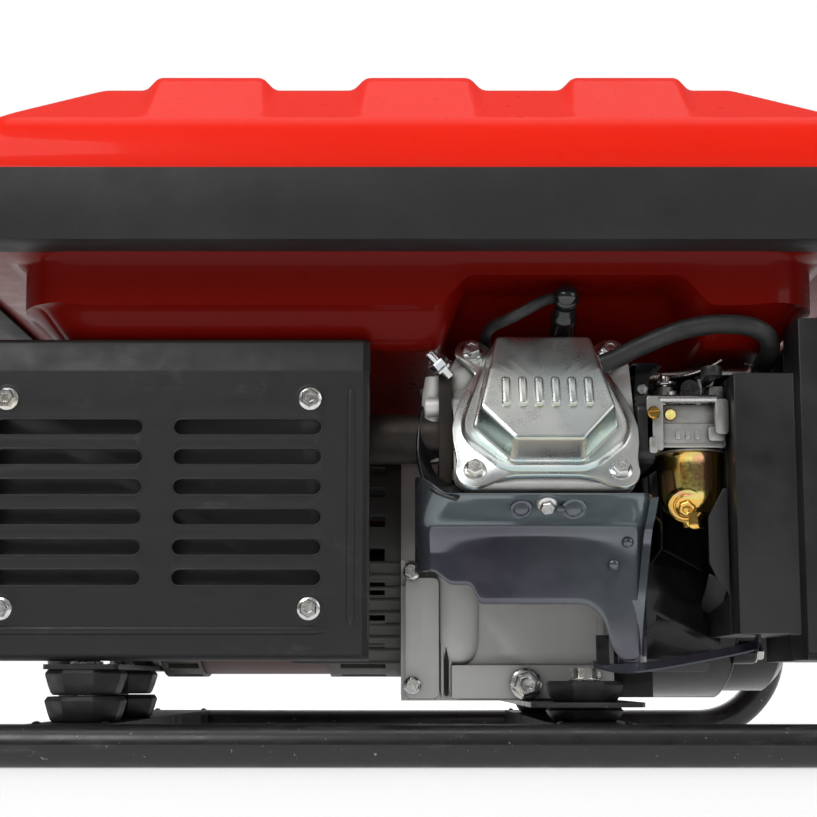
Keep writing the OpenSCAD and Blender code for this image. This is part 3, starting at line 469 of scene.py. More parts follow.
def tank_enamel(name, deep):
    """Gloss red enamel with slight orange peel; deep scales its colour, and below 1 it makes a copy darkened by
    painted shade.
    """
    base = tuple(c * deep for c in (1.0, 0.020, 0.006))
    return plain(name, base, 0.34, ((6, 4), base, tuple(c * 0.9 for c in base)), None,
                 ((90, 4), 0.3, 0.8, 0.26, 0.40),
                 [((150, 2, 0.5), 0.10, 0.12), ((11, 2, 0.5), 1.2, 0.10)],
                 Coat_Weight=0.16, Coat_Roughness=0.05, Coat_IOR=1.4, Specular_IOR_Level=0.06)


MATERIALS = {
    "frame_paint": frame_paint(),
    "band_paint": plain(
        "band_coat", (0.016, 0.016, 0.017), 0.62,
        ((9, 6, 0.7), (0.013, 0.013, 0.014), (0.028, 0.028, 0.029)),
        (0.45, 0.8), ((30, 4), 0.3, 0.8, 0.52, 0.7), [((1500, 2, 0.7), 0.14, 0.9)],
        Specular_IOR_Level=0.4),
    "tank_red": tank_enamel("tank_enamel", 1.0),
    # The lower tank's copy of the enamel, darkened to 0.14 of its colour: painted shade.
    "tank_painted_shade": tank_enamel("tank_enamel_painted_shade", 0.14),
    "rubber": plain(
        "black_rubber", (0.012, 0.012, 0.012), 0.55,
        ((40, 5, 0.7), (0.010, 0.010, 0.010), (0.032, 0.031, 0.030)),
        (0.45, 0.75), ((120, 4), 0.3, 0.75, 0.38, 0.66), [((1200, 3, 0.6), 0.06, 0.5)]),
    "gloss_rubber": plain(
        "gloss_rubber", (0.008, 0.008, 0.009), 0.16, None, None, ((120, 4), 0.3, 0.75, 0.12, 0.28),
        [((300, 2), 0.05, 0.25)], Coat_Weight=0.5, Coat_Roughness=0.1),
    "fuel_rubber": plain(
        "fuel_hose", (0.020, 0.014, 0.011), 0.5, ((60, 4), (0.016, 0.012, 0.010), (0.045, 0.033, 0.026)),
        bumps=[((1500, 2), 0.05, 0.4)]),
    "zinc": zinc(),
    "passivated_steel": passivated(),
    "gold_passivate": gold_bowl(),
    "cast_aluminium": cast_aluminium(),
    "alternator_bells": bell_casting(),
    "die_cast": die_cast(),
    "machined_steel": plain(
        "machined_steel", (0.55, 0.55, 0.55), 0.28, ((30, 4), (0.46, 0.46, 0.46), (0.62, 0.62, 0.61)),
        None,
        ((400, 3, 0.55, (6, 1, 1)), 0.3, 0.7, 0.18, 0.36), [((700, 2, 0.55, (8, 1, 1)), 0.03, 0.4)],
        metal=1.0),
    "flywheel_iron": plain(
        "flywheel_iron", (0.30, 0.30, 0.30), 0.45, ((50, 5), (0.22, 0.22, 0.22), (0.38, 0.37, 0.36)),
        bumps=[((800, 3), 0.08, 0.5)], metal=0.9),
    "gloss_black": plain(
        "gloss_black", (0.010, 0.010, 0.011), 0.20,
        ((30, 6, 0.7), (0.008, 0.008, 0.009), (0.03, 0.03, 0.03)),
        (0.55, 0.85), ((70, 5), 0.3, 0.8, 0.14, 0.34), [((170, 2), 0.08, 0.16)],
        Coat_Weight=0.25, Coat_Roughness=0.07, Specular_IOR_Level=0.3),
    "cowl_blue_black": blued_steel(),
    "black_plastic": plain(
        "black_plastic", (0.013, 0.013, 0.014), 0.42,
        ((14, 6, 0.7), (0.010, 0.010, 0.011), (0.030, 0.030, 0.030)),
        (0.5, 0.85), ((50, 5), 0.3, 0.8, 0.30, 0.50), [((1500, 3, 0.6), 0.06, 0.5)]),
    "red_plastic": plain(
        "red_plastic", (0.55, 0.018, 0.012), 0.28, ((60, 4), (0.50, 0.015, 0.010), (0.62, 0.026, 0.016)),
        bumps=[((900, 2), 0.04, 0.3)]),
    "pale_plastic": plain(
        "pale_plastic", (0.74, 0.72, 0.66), 0.4, ((60, 4), (0.70, 0.68, 0.61), (0.80, 0.78, 0.72)),
        bumps=[((900, 2), 0.04, 0.3)]),
    "filter_foam": plain(
        "filter_paper", (0.66, 0.56, 0.36), 0.9, ((40, 5), (0.60, 0.50, 0.31), (0.74, 0.64, 0.43)),
        bumps=[((1300, 4, 0.7), 0.15, 0.7)]),
    "ceramic_and_steel": plain(
        "glazed_ceramic", (0.86, 0.85, 0.82), 0.12, ((80, 4), (0.84, 0.83, 0.79), (0.90, 0.89, 0.86)),
        bumps=[((700, 2), 0.02, 0.3)]),
    "exhaust_black": heat_black(),
    "hot_steel": hot_steel(),
    "lacquered_iron": plain(
        "lacquered_iron", (0.06, 0.012, 0.009), 0.45,
        ((25, 5), (0.040, 0.010, 0.008), (0.085, 0.018, 0.012)),
        bumps=[((260, 1, 0.3, (6, 0.1, 0.1)), 0.3, 0.6)], Coat_Weight=0.2, Coat_Roughness=0.3),
    "winding": plain(
        "winding_wire", (0.42, 0.40, 0.08), 0.3, ((70, 4), (0.34, 0.36, 0.06), (0.56, 0.46, 0.12)),
        bumps=[((300, 1, 0.2, (4, 1, 1)), 0.5, 0.8)], metal=0.5, Coat_Weight=0.6, Coat_Roughness=0.15),
    "panel_paint": plain(
        "panel_coat", (0.020, 0.021, 0.023), 0.55,
        ((12, 6, 0.7), (0.017, 0.018, 0.020), (0.030, 0.031, 0.033)),
        bumps=[((1200, 3, 0.7), 0.15, 0.8)]),
}

# Radius of the rounded edges of the CAD nodes, in millimetres
EDGE_MM = {
    "frame_paint": 0.0, "band_paint": 1.0, "cast_aluminium": 1.4, "die_cast": 0.7, "zinc": 0.5,
    "black_plastic": 1.6, "gloss_black": 1.5, "exhaust_black": 0.6, "rubber": 0.8, "panel_paint": 0.8,
}
DEFAULT_EDGE_MM = 0.5


def dress_cad_nodes():
    """Every CAD node keeps its shape, gets its slot's material and softly rounded edges."""
    slot_of = {p["node"]: p["material_slot"] for p in frame["record"]["subparts"]}
    for name, node in NODES.items():
        slot = slot_of[name]
        node.data.materials.clear()
        node.data.materials.append(MATERIALS.get(name, MATERIALS[slot]))
        weld = node.modifiers.new("weld", "WELD")
        weld.merge_threshold = 0.00001
        flat = node.modifiers.new("flat", "DECIMATE")
        flat.decimate_type = "DISSOLVE"
        flat.angle_limit = math.radians(0.5)
        width = EDGE_MM.get(slot, DEFAULT_EDGE_MM)
        if width:
            add_bevel(node, width, limit=40)
        for polygon in node.data.polygons:
            polygon.use_smooth = True
        smooth_by_angle(node, 35)


def smooth_by_angle(obj, degrees):
    """Shades smooth across edges flatter than the angle."""
    modifier = obj.modifiers.new("angle", "NODES")
    modifier.node_group = angle_group(degrees)


def angle_group(degrees):
    name = f"smooth_{degrees}"
    group = bpy.data.node_groups.get(name)
    if group:
        return group
    group = bpy.data.node_groups.new(name, "GeometryNodeTree")
    group.interface.new_socket("Geometry", in_out="INPUT", socket_type="NodeSocketGeometry")
    group.interface.new_socket("Geometry", in_out="OUTPUT", socket_type="NodeSocketGeometry")
    source, target, angle, compare, faces, edges = (
        group.nodes.new(kind) for kind in
        ("NodeGroupInput", "NodeGroupOutput", "GeometryNodeInputMeshEdgeAngle", "FunctionNodeCompare",
         "GeometryNodeSetShadeSmooth", "GeometryNodeSetShadeSmooth"))
    compare.operation = "LESS_THAN"
    compare.inputs[1].default_value = math.radians(degrees)
    faces.domain, edges.domain = "FACE", "EDGE"
    link = group.links.new
    link(angle.outputs["Unsigned Angle"], compare.inputs[0])
    link(source.outputs[0], faces.inputs["Geometry"])
    link(faces.outputs["Geometry"], edges.inputs["Geometry"])
    link(compare.outputs[0], edges.inputs["Shade Smooth"])
    link(edges.outputs["Geometry"], target.inputs[0])
    return group


# ---- Mesh building, in millimetres ----

def place(at, direction=(0, 0, 1), turn=0.0):
    """A matrix whose Z runs along a direction from a point, turned about it."""
    quat = Vector(direction).to_track_quat("Z", "Y")
    return Matrix.Translation(Vector(at)) @ quat.to_matrix().to_4x4() @ Matrix.Rotation(turn, 4, "Z")


def axes(x, y, z, at=(0, 0, 0)):
    """A matrix from the directions that local X, Y and Z take."""
    columns = [Vector(v).to_4d() for v in (x, y, z)]
    for column in columns:
        column.w = 0
    return Matrix.Translation(at) @ Matrix((*columns, (0, 0, 0, 1))).transposed()


def facing_front(at):
    """Outlines are drawn in (x, z), and depth runs along Y."""
    return axes((1, 0, 0), (0, 0, 1), (0, 1, 0), at)


# Local (u, v, n) of the cylinder to the row frame
CYLINDER = axes(U_DIR, V_DIR, N_DIR, CRANK)


def turns_of(count):
    """Angles of a full turn, the last equal to the first."""
    return [2 * math.pi * k / count for k in range(count + 1)]


def circle(radius, sides, z=0.0, turn=0.0):
    return [(radius * math.cos(turn + a), radius * math.sin(turn + a), z) for a in turns_of(sides)[:-1]]


def rounded_box(hx, hy, radius, steps=6):
    """Outline of a rectangle with round corners, anticlockwise."""
    points = []
    for cx, cy, start in ((hx, hy, 0), (-hx, hy, 90), (-hx, -hy, 180), (hx, -hy, 270)):
        sx, sy = math.copysign(hx - radius, cx), math.copysign(hy - radius, cy)
        for k in range(steps + 1):
            a = math.radians(start + 90 * k / steps)
            points.append((sx + radius * math.cos(a), sy + radius * math.sin(a)))
    return points


def smooth_path(points, step):
    """Catmull-Rom points through a list of points, about a step apart."""
    p = [Vector(q) for q in points]
    p = [p[0] * 2 - p[1]] + p + [p[-1] * 2 - p[-2]]
    out = []
    for i in range(1, len(p) - 2):
        a, b, c, d = p[i - 1:i + 3]
        n = max(1, round((c - b).length / step))
        for k in range(n):
            t = k / n
            out.append(0.5 * (2 * b + (c - a) * t + (2 * a - 5 * b + 4 * c - d) * t * t
                              + (3 * b - a - 3 * c + d) * t ** 3))
    out.append(p[-2])
    return out


class Form:
    """Vertices and faces of one piece, in millimetres in the row frame."""

    def __init__(self):
        self.verts = []
        self.faces = []

    def put(self, verts, faces, at=None):
        base = len(self.verts)
        self.verts += [at @ Vector(v) if at else Vector(v) for v in verts]
        self.faces += [tuple(base + i for i in f) for f in faces]
        return self

    def loft(self, rings, at=None, caps=True):
        """Skin over rings of the same number of points."""
        n = len(rings[0])
        verts = [v for ring in rings for v in ring]
        faces = [(i * n + k, i * n + (k + 1) % n, (i + 1) * n + (k + 1) % n, (i + 1) * n + k)
                 for i in range(len(rings) - 1) for k in range(n)]
        if caps:
            faces.append(tuple(range(n))[::-1])
            faces.append(tuple((len(rings) - 1) * n + k for k in range(n)))
        return self.put(verts, faces, at)

    def lathe(self, profile, at=None, turns=40, caps=True):
        """Revolves (radius, height) pairs about local Z."""
        return self.loft([circle(max(r, 0.01), turns, z) for r, z in profile], at, caps)

    def prism(self, outline, low, high, at=None):
        """An outline between two heights."""
        return self.loft([[(x, y, z) for x, y in outline] for z in (low, high)], at)

    def shell(self, outer, inner):
        """Two grids of points, columns of rows, joined around their rims into a sheet."""
        n, columns = len(outer[0]), len(outer)
        half = columns * n
        faces = []
        for i in range(columns - 1):
            for j in range(n - 1):
                a = i * n + j
                faces.append((a, a + 1, a + n + 1, a + n))
                faces.append((half + a, half + a + n, half + a + n + 1, half + a + 1))
            for a in (i * n, i * n + n - 1):
                faces.append((a, a + n, half + a + n, half + a))
        for i in (0, columns - 1):
            for a in range(i * n, i * n + n - 1):
                faces.append((a, a + 1, half + a + 1, half + a))
        return self.put([p for column in outer + inner for p in column], faces)

    def hoop(self, radius, thick, at, count=48, z=0.0, sides=8):
        """A round wire bent to a circle about local Z."""
        return self.tube([at @ Vector((radius * math.cos(a), radius * math.sin(a),
                                       z)) for a in turns_of(count)],
                         thick, sides, step=0)

    def tube(self, points, radius, sides=20, step=3.0):
        """A round tube along a smooth path."""
        path = smooth_path(points, step) if step else [Vector(q) for q in points]
        up = Vector((0, 0, 1))
        if abs((path[1] - path[0]).normalized().z) > 0.9:
            up = Vector((0, 1, 0))
        rings = []
        for i, p in enumerate(path):
            ahead = path[min(i + 1, len(path) - 1)] - path[max(i - 1, 0)]
            ahead.normalize()
            side = ahead.cross(up).normalized()
            up = side.cross(ahead).normalized()
            rings.append([p + (side * math.cos(a) + up * math.sin(a)) * radius for a in turns_of(sides)[:-1]])
        return self.loft(rings)

    def ribbon(self, points, width, thick, across, step=3.0):
        """A flat strap along a smooth path; across is its width's direction."""
        path = smooth_path(points, step) if step else [Vector(q) for q in points]
        across = Vector(across).normalized()
        rings = []
        for i, p in enumerate(path):
            ahead = (path[min(i + 1, len(path) - 1)] - path[max(i - 1, 0)]).normalized()
            normal = ahead.cross(across).normalized()
            w = width(i / (len(path) - 1)) if callable(width) else width
            rings.append([p + across * (sx * w / 2) + normal * (sn * thick / 2)
                          for sx, sn in ((-1, -1), (1, -1), (1, 1), (-1, 1))])
        return self.loft(rings)

    def bolt(self, at, direction, size=6.0, flange=True, length=0.0, turn=0.2):
        """A hexagon bolt head with a washer face, chamfered corners and a dished top."""
        m = place(at, direction, turn)
        z = 0.0
        if flange:
            self.lathe([(size * 1.12, 0), (size * 1.17, 0.35), (size * 1.15, 0.9), (size * 0.86, 1.9),
                        (size * 0.6, 2.2)], m, 36)
            z = 1.6
        af = size * 0.83
        corner = af / math.cos(math.pi / 6)
        height = size * 0.66
        self.loft([circle(corner * share, 6, z + dz) for share, dz in
                   ((1, 0), (1, height - 0.9), (0.86, height), (0.52, height), (0.44, height - 0.7))], m)
        if length:
            self.lathe([(size / 2, -length), (size / 2, 0.5)], m, 24)
        return self

    def object(self, name):
        """The bare Blender object, its faces turned outwards."""
        mesh = bpy.data.meshes.new(name)
        mesh.from_pydata([tuple(v * MM) for v in self.verts], [], self.faces)
        bm = bmesh.new()
        bm.from_mesh(mesh)
        bmesh.ops.recalc_face_normals(bm, faces=bm.faces)
        for face in bm.faces:
            face.smooth = True
        bm.to_mesh(mesh)
        bm.free()
        obj = bpy.data.objects.new(name, mesh)
        bpy.context.scene.collection.objects.link(obj)
        return obj

    def piece(self, name, slot, body="frame", instead_of=(), bevel=0.0, segments=2, subdivide=0,
              smooth=35,
              limit=35, material=None):
        """Makes the Blender object, with its finish, its body and the CAD nodes it stands for."""
        obj = self.object(name)
        obj.data.materials.append(material or MATERIALS[slot])
        if bevel:
            add_bevel(obj, bevel, segments, limit)
        if subdivide:
            sub = obj.modifiers.new("subdivision", "SUBSURF")
            sub.levels = sub.render_levels = subdivide
        smooth_by_angle(obj, smooth)
        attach(obj, body)
        if instead_of:
            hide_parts(*instead_of)
        return obj


def add_bevel(obj, width, segments=2, limit=35):
    bevel = obj.modifiers.new("edges", "BEVEL")
    bevel.width = width * MM
    bevel.segments = segments
    bevel.limit_method = "ANGLE"
    bevel.angle_limit = math.radians(limit)
    bevel.use_clamp_overlap = True


def cut(obj, form):
    """Cuts a form out of a piece, before its other modifiers."""
    cutter = form.object("cutter")
    mesh = cutter.data
    boolean = obj.modifiers.new("cut", "BOOLEAN")
    boolean.operation = "DIFFERENCE"
    boolean.object = cutter
    boolean.solver = "EXACT"
    obj.modifiers.move(len(obj.modifiers) - 1, 0)
    with bpy.context.temp_override(object=obj, active_object=obj, selected_objects=[obj]):
        bpy.ops.object.modifier_apply(modifier=boolean.name)
    bpy.data.objects.remove(cutter)
    bpy.data.meshes.remove(mesh)
    for polygon in obj.data.polygons:
        polygon.use_smooth = True


# ---- Fuel tank ----

def blurred(field, cells, passes=2):
    """Rounds off a height field by a few box blurs."""
    for _ in range(passes):
        for axis in (0, 1):
            total = sum(np.roll(np.pad(field, cells, mode="edge"), s, axis)
                        for s in range(-cells, cells + 1))
            field = total[cells:-cells, cells:-cells] / (2 * cells + 1)
    return field


def stamped_field(hx, hy, corner, step, height, cells):
    """Grid over a rounded rectangle, its corners warped on to their arcs, with heights above it."""
    nx, ny = round(2 * hx / step) + 1, round(2 * hy / step) + 1
    x, y = np.meshgrid(np.linspace(-hx, hx, nx), np.linspace(-hy, hy, ny), indexing="ij")
    a = np.abs(x) - (hx - corner)
    b = np.abs(y) - (hy - corner)
    inside = (a > 0) & (b > 0)
    far = np.maximum(a, b)
    length = np.where(inside, np.hypot(a, b), 1)
    share = np.where(inside, far / length, 1)
    x = np.where(inside, np.sign(x) * (hx - corner + a * share), x)
    y = np.where(inside, np.sign(y) * (hy - corner + b * share), y)
    z = blurred(height(x, y), cells)
    verts = [tuple(v) for v in np.stack([x, y, z], -1).reshape(-1, 3)]
    faces = [(i * ny + j, (i + 1) * ny + j, (i + 1) * ny + j + 1, i * ny + j + 1)
             for i in range(nx - 1) for j in range(ny - 1)]
    rim = ([i * ny for i in range(nx)] + [(nx - 1) * ny + j for j in range(1, ny)]
           + [i * ny + ny - 1 for i in range(nx - 2, -1, -1)] + [j for j in range(ny - 2, 0, -1)])
    return verts, faces, rim


def hem(verts, faces, rim, offsets):
    """Carries a rim outward and down through (out, z) steps; z None keeps the rim's own height."""
    n = len(rim)
    normals = []
    for k in range(n):
        before, after = Vector(verts[rim[k - 1]]), Vector(verts[rim[(k + 1) % n]])
        along = (after - before).xy.normalized()
        normals.append((along.y, -along.x))
    last = rim
    for out, z in offsets:
        base = len(verts)
        for k, i in enumerate(rim):
            x, y, own = verts[i]
            verts.append((x + normals[k][0] * out, y + normals[k][1] * out, own if z is None else z))
        ring = list(range(base, base + n))
        faces += [(last[k], last[(k + 1) % n], ring[(k + 1) % n], ring[k]) for k in range(n)]
        last = ring


TANK_LOW, TANK_HIGH = span("tank_upper_shell")
FLANGE_Z = TANK_LOW.z
BAND_TOP = span("top_band")[1].z
TANK_TOP = TANK_HIGH.z - 9
TANK_MID = TANK_TOP - 38
LOWER_SLOPE = (TANK_MID - BAND_TOP) / 10
END_SLOPE = (TANK_MID - BAND_TOP) / 24
RIB_PITCH = 135
RIB_RISE = 8
FILLER = span("fuel_cap")
GAUGE = span("fuel_gauge")


def tank_top_height(x, y):
    """Two facets up every side, three ribs across, and the bosses of the cap and the gauge."""
    ax, ay = np.abs(x), np.abs(y)
    side_x = np.where(ax > 276, TANK_MID - (ax - 276) * END_SLOPE, TANK_MID + (276 - ax) * 38 / 71)
    side_y = np.where(ay > 190, TANK_MID - (ay - 190) * LOWER_SLOPE, TANK_MID + (190 - ay) * 38 / 40)
    corner = 45 - np.hypot(np.maximum(ax - 255, 0), np.maximum(ay - 155, 0))
    hip = BAND_TOP + LOWER_SLOPE * np.minimum(corner, 10) + np.maximum(corner - 10, 0) * 0.9
    hip = np.where((ax > 255) & (ay > 155), hip, TANK_TOP + RIB_RISE)
    base = np.minimum(np.minimum(side_x, side_y), np.minimum(hip, TANK_TOP))
    rib_y = np.where(ay > 189, side_y, TANK_MID + (189 - ay) * 46 / 37)
    rib = np.minimum(np.minimum(rib_y, TANK_TOP + RIB_RISE), side_x + RIB_RISE)
    near = np.min([np.abs(x - i * RIB_PITCH) for i in (-1, 0, 1)], axis=0)
    mask = np.clip((41 - near) / 6, 0, 1)
    z = base + mask * np.maximum(rib - base, 0)
    for (low, high), radius, lift in ((FILLER, 47, 1), (GAUGE, 25, 1)):
        cx, cy = (low.x + high.x) / 2, (low.y + high.y) / 2
        reach = np.hypot(x - cx, y - cy)
        boss = TANK_TOP + RIB_RISE + lift - np.maximum(reach - radius, 0) * 3
        z = np.where(reach < radius + 8, np.maximum(z, boss), z)
    return z


def tank_upper():
    verts, faces, rim = stamped_field(300, 200, 45, 2.0, tank_top_height, 1)
    z = FLANGE_Z
    hem(verts, faces, rim,
        [(0.4, BAND_TOP - 4), (0.6, z + 12), (1.2, z + 7), (3.2, z + 3.4), (7, z + 2.2)])
    Form().put(verts, faces).piece("tank_upper", "tank_red", smooth=50)
    flange = Form().prism(rounded_box(310, 210, 14, 8), z, z + 2)
    flange.piece("tank_flange_upper", "tank_red", bevel=0.8, instead_of=("tank_upper_shell",))


def tank_low_height(x, y):
    """Sloping foot all round, with the pocket over the cylinder head."""
    ax, ay = np.abs(x), np.abs(y)
    rise_x = np.maximum(ax - 225, 0)
    rise_y = np.maximum(ay - 165, 0)
    corner = np.maximum(np.hypot(np.maximum(ax - 200, 0), np.maximum(ay - 140, 0)) - 25, 0)
    z = 257 + np.minimum(np.maximum(np.maximum(rise_x, rise_y), corner) * 24 / 23.5, 24)
    pocket = np.clip(298 - (y + 140), 262, 298)
    side = np.clip(np.minimum((x - 14) / 16, (179 - x) / 16), 0, 1)
    pocket = z + (pocket - z) * side
    return np.where(y < -103, np.maximum(z, pocket), z)


def tank_lower():
    verts, faces, rim = stamped_field(249, 188, 35, 2.5, tank_low_height, 1)
    z = FLANGE_Z
    hem(verts, faces, rim, [(0.5, z - 9), (1.6, z - 6.5), (4.2, z - 4), (8, z - 2.4), (13, z - 2)])
    # The lower shell and its flange take the enamel's copy darkened by painted shade.
    shade = MATERIALS["tank_painted_shade"]
    Form().put(verts, faces).piece("tank_lower", "tank_red", smooth=50, material=shade)
    flange = Form().prism(rounded_box(310, 210, 14, 8), z - 2, z)
    flange.piece("tank_flange_lower", "tank_red", bevel=0.8, instead_of=("tank_lower_shell",),
                 material=shade)


# ---- Engine: valve cover, plug, head ----

COVER_EARS = [(-44, -43.5), (44, -43.5), (-44, 47), (44, 47)]
HEAD_TOP = 186


def ray_reach(outline, angle):
    """How far a ray from the middle runs before it leaves an outline."""
    dx, dy = math.cos(angle), math.sin(angle)
    reach = 0.0
    for (ax, ay), (bx, by) in zip(outline, outline[1:] + outline[:1]):
        ex, ey = bx - ax, by - ay
        det = dx * ey - dy * ex
        if abs(det) < 1e-9:
            continue
        t = (ax * ey - ay * ex) / det
        s = (ax * dy - ay * dx) / det
        if t > 0 and -1e-6 <= s <= 1 + 1e-6:
            reach = max(reach, t)
    return reach


def rayed(outline, count, inset=0.0):
    """An outline sampled by rays from the middle, so that rings pair up."""
    points = []
    for k in range(count):
        a = 2 * math.pi * (k + 0.5) / count
        r = ray_reach(outline, a) - inset
        points.append((r * math.cos(a), r * math.sin(a)))
    return points


def softened(points, passes):
    """Rounds the corners of a closed ring of points."""
    for _ in range(passes):
        n = len(points)
        points = [tuple((points[k - 1][i] + 2 * points[k][i] + points[(k + 1) % n][i]) / 4 for i in (0,
                                                                                                     1))
                  for k in range(n)]
    return points


def mirrored(half):
    """A closed outline from its right half, given from the bottom up."""
    return half + [(-x, y) for x, y in reversed(half)]


def ear_arc(centre, radius, start, end, steps=9):
    return [(centre[0] + radius * math.cos(math.radians(start + (end - start) * k / steps)),
             centre[1] + radius * math.sin(math.radians(start + (end - start) * k / steps)))
            for k in range(steps + 1)]


def cover_outlines():
    flange = mirrored([(6, -46.6), (20, -46.8), (29, -49)]
                      + ear_arc(COVER_EARS[1], 12, -130, 25)
                      + [(55.4, -32), (57, -22), (57.4, -12), (55.5, -2), (51.5, 10), (46, 22), (42, 30),
                         (42, 35)]
                      + ear_arc(COVER_EARS[3], 11, -35, 150) + [(31, 47.6)])
    ridge = mirrored([(22, -44), (30, -40.5), (47, -25), (51, -17), (51, -8), (45, 12), (39, 30),
                      (34.5, 46.8)])
    base = mirrored([(21.5, -38.8), (44, -14), (38, 14), (32.5, 46.6)])
    top = mirrored([(20.8, -35), (41, -11), (35, 17), (29.5, 45)])
    return flange, ridge, base, top


def bend_height(v, crown):
    """The cover's top leans back a little above its bend."""
    return crown - max(v - 17, 0) * 0.10


def valve_cover():
    count = 288
    flange, ridge, base, top = cover_outlines()
    crown = HEAD_TOP + 26

    def ring(outline, n, inset=0.0, soft=0):
        return [(x, y, n) for x, y in softened(rayed(outline, count, inset), soft)]

    low = HEAD_TOP + 1.2
    rings = [ring(flange, low, 0.9, 2), ring(flange, low, 0, 2), ring(flange, low + 2.2, 0, 2),
             ring(flange, low + 2.9, 0.5, 2), ring(flange, low + 3.1, 1.4, 2),
             ring(ridge, low + 3.2, -2.2, 6), ring(ridge, low + 3.8, -0.8, 6),
             ring(ridge, low + 6.0, 0.6, 6),
             ring(ridge, low + 6.9, 1.8, 6), ring(ridge, low + 7.0, 3.4, 6),
             ring(ridge, low + 6.6, 4.6, 6),
             ring(base, low + 6.8, -0.9, 3), ring(base, low + 7.6, 0, 3), ring(base, low + 9.5, 0.3, 3)]
    wall_top = [(x, y) for x, y, _ in ring(top, 0, 0, 3)]
    rings.append([(x, y, bend_height(y, crown) - 2.6) for x, y in wall_top])
    for inset, drop in ((0.35, 1.3), (1.0, 0.5), (2.0, 0.08), (3.2, 0.0)):
        rings.append([(x, y, bend_height(y, crown) - drop) for x, y, _ in ring(top, 0, inset, 3)])
    for share in (0.75, 0.5, 0.25, 0.02):
        rings.append([(x * share, y * share, bend_height(y * share, crown))
                      for x, y, _ in ring(top, 0, 3.2, 3)])
    form = Form().loft(rings, CYLINDER)
    form.piece("valve_cover_stamping", "passivated_steel", instead_of=("valve_cover",), smooth=28)

    gasket = Form().loft([ring(flange, HEAD_TOP, 1.2, 2), ring(flange, HEAD_TOP + 1.2, 1.2, 2)], CYLINDER)
    gasket.piece("valve_cover_gasket", "rubber")

    bars = Form()
    for k in range(6):
        u = -25 + 10 * k
        bars.loft([[(u + x, -1 + y, n) for x, y in rounded_box(3.0 - s, 10.5 - s, 2.6 - s, 5)]
                   for s,
                   n in ((-0.4, crown - 0.4), (0, crown + 0.3), (0.3, crown + 1.9), (0.8, crown + 2.5),
                                (1.6, crown + 2.8))], CYLINDER)
    bars.piece("valve_cover_bars", "passivated_steel", smooth=60)


def plug_matrix():
    return CYLINDER @ Matrix.Translation((14, 51, 150)) @ Matrix.Rotation(math.radians(-9.5), 4, "X")


def plug_boot():
    m = plug_matrix()
    boot = Form().lathe([(5.8, 30.5), (9.2, 30.5), (9.7, 31.5), (9.7, 34), (8.9, 35), (9.6, 36.2),
                         (9.6, 39),
                         (8.4, 41), (8.0, 47), (7.6, 56), (8.4, 57.5), (8.4, 59.5), (7.4, 61), (7.0, 66),
                         (6.6, 68)], m, 36)
    boot.lathe([(0.1, 66), (4.5, 66.6), (6.8, 68.6), (8.0, 72), (8.1, 75), (7.4, 78.6), (5.6, 81),
                (3, 82.2),
                (0.1, 82.6)], m, 36)
    boot.lathe([(8.2, 72.6), (8.55, 73.2), (8.55, 74.6), (8.2, 75.2)], m, 36)
    boot.piece("plug_boot", "rubber", instead_of=("plug_cap",), smooth=40,
               material=MATERIALS["gloss_rubber"])


LEAD_POINTS = [(82.6, -176.3, 286.8), (76, -181, 283), (66, -183, 277), (56, -178, 273), (48, -166, 272),
               (44, -150, 271), (44, -135, 265), (46, -120, 256), (52, -105, 249), (64, -90, 246),
               (80, -76, 243), (96, -64, 241), (112, -54, 236), (122, -50, 229), (129.8, -48, 221)]
HOSE_POINTS = [(122.3, -171, 249), (127, -172.4, 251), (133, -174.3, 254), (145, -178, 259),
               (158, -182, 263.5), (170, -185.5, 266), (182, -188, 267), (193, -189.5, 266.5),
               (204, -189, 265), (213, -185, 261.5), (218, -177.5, 256.5), (219, -168, 251.6),
               (219, -160, 250.3), (219, -153.5, 249.8), (219, -150.4, 248), (219, -150, 245.5),
               (219, -150, 243.4)]
FUEL_POINTS = [(-95.8, 60, 233), (-80, 60, 233), (-60, 58, 238), (-30, 52, 242), (0, 44, 243),
               (30, 34, 243),
               (60, 20, 243), (90, 6, 243), (115, -10, 243), (138, -30, 243), (156, -52, 241),
               (166, -74, 235),
               (169, -90, 226), (169, -98, 215), (169, -103, 204), (169, -109, 197), (169, -115, 195),
               (169, -119.8, 195)]


def hoses():
    hose = Form().tube([(114.5, -169.2, 246.4)] + HOSE_POINTS, 6, 28)
    hose.piece("breather_tube", "rubber", instead_of=("breather_hose",), smooth=60)
    lead = Form().tube(LEAD_POINTS, 3.5, 18)
    lead.piece("ignition_lead", "rubber", instead_of=("plug_lead",), smooth=60)
    line = Form().tube(FUEL_POINTS, 4, 18)
    line.piece("fuel_pipe", "fuel_rubber", instead_of=("fuel_line",), smooth=60)
    clips = Form()
    for points, radius in ((FUEL_POINTS, 4), (FUEL_POINTS[::-1], 4), (HOSE_POINTS[::-1], 6)):
        a, b = Vector(points[0]), Vector(points[1])
        along = (b - a).normalized()
        m = place(a + along * 6, along)
        for z in (-1.2, 1.2):
            clips.hoop(radius + 0.5, 0.6, m, 24, z)
        ends = ((radius + 0.4, -1.0, -1.2), (radius + 0.4, 1.0, 1.2), (radius + 5, 1.6, 1.2))
        clips.tube([m @ Vector(p) for p in ends], 0.6, 8, step=0)
    clips.piece("hose_clips", "zinc", smooth=60)


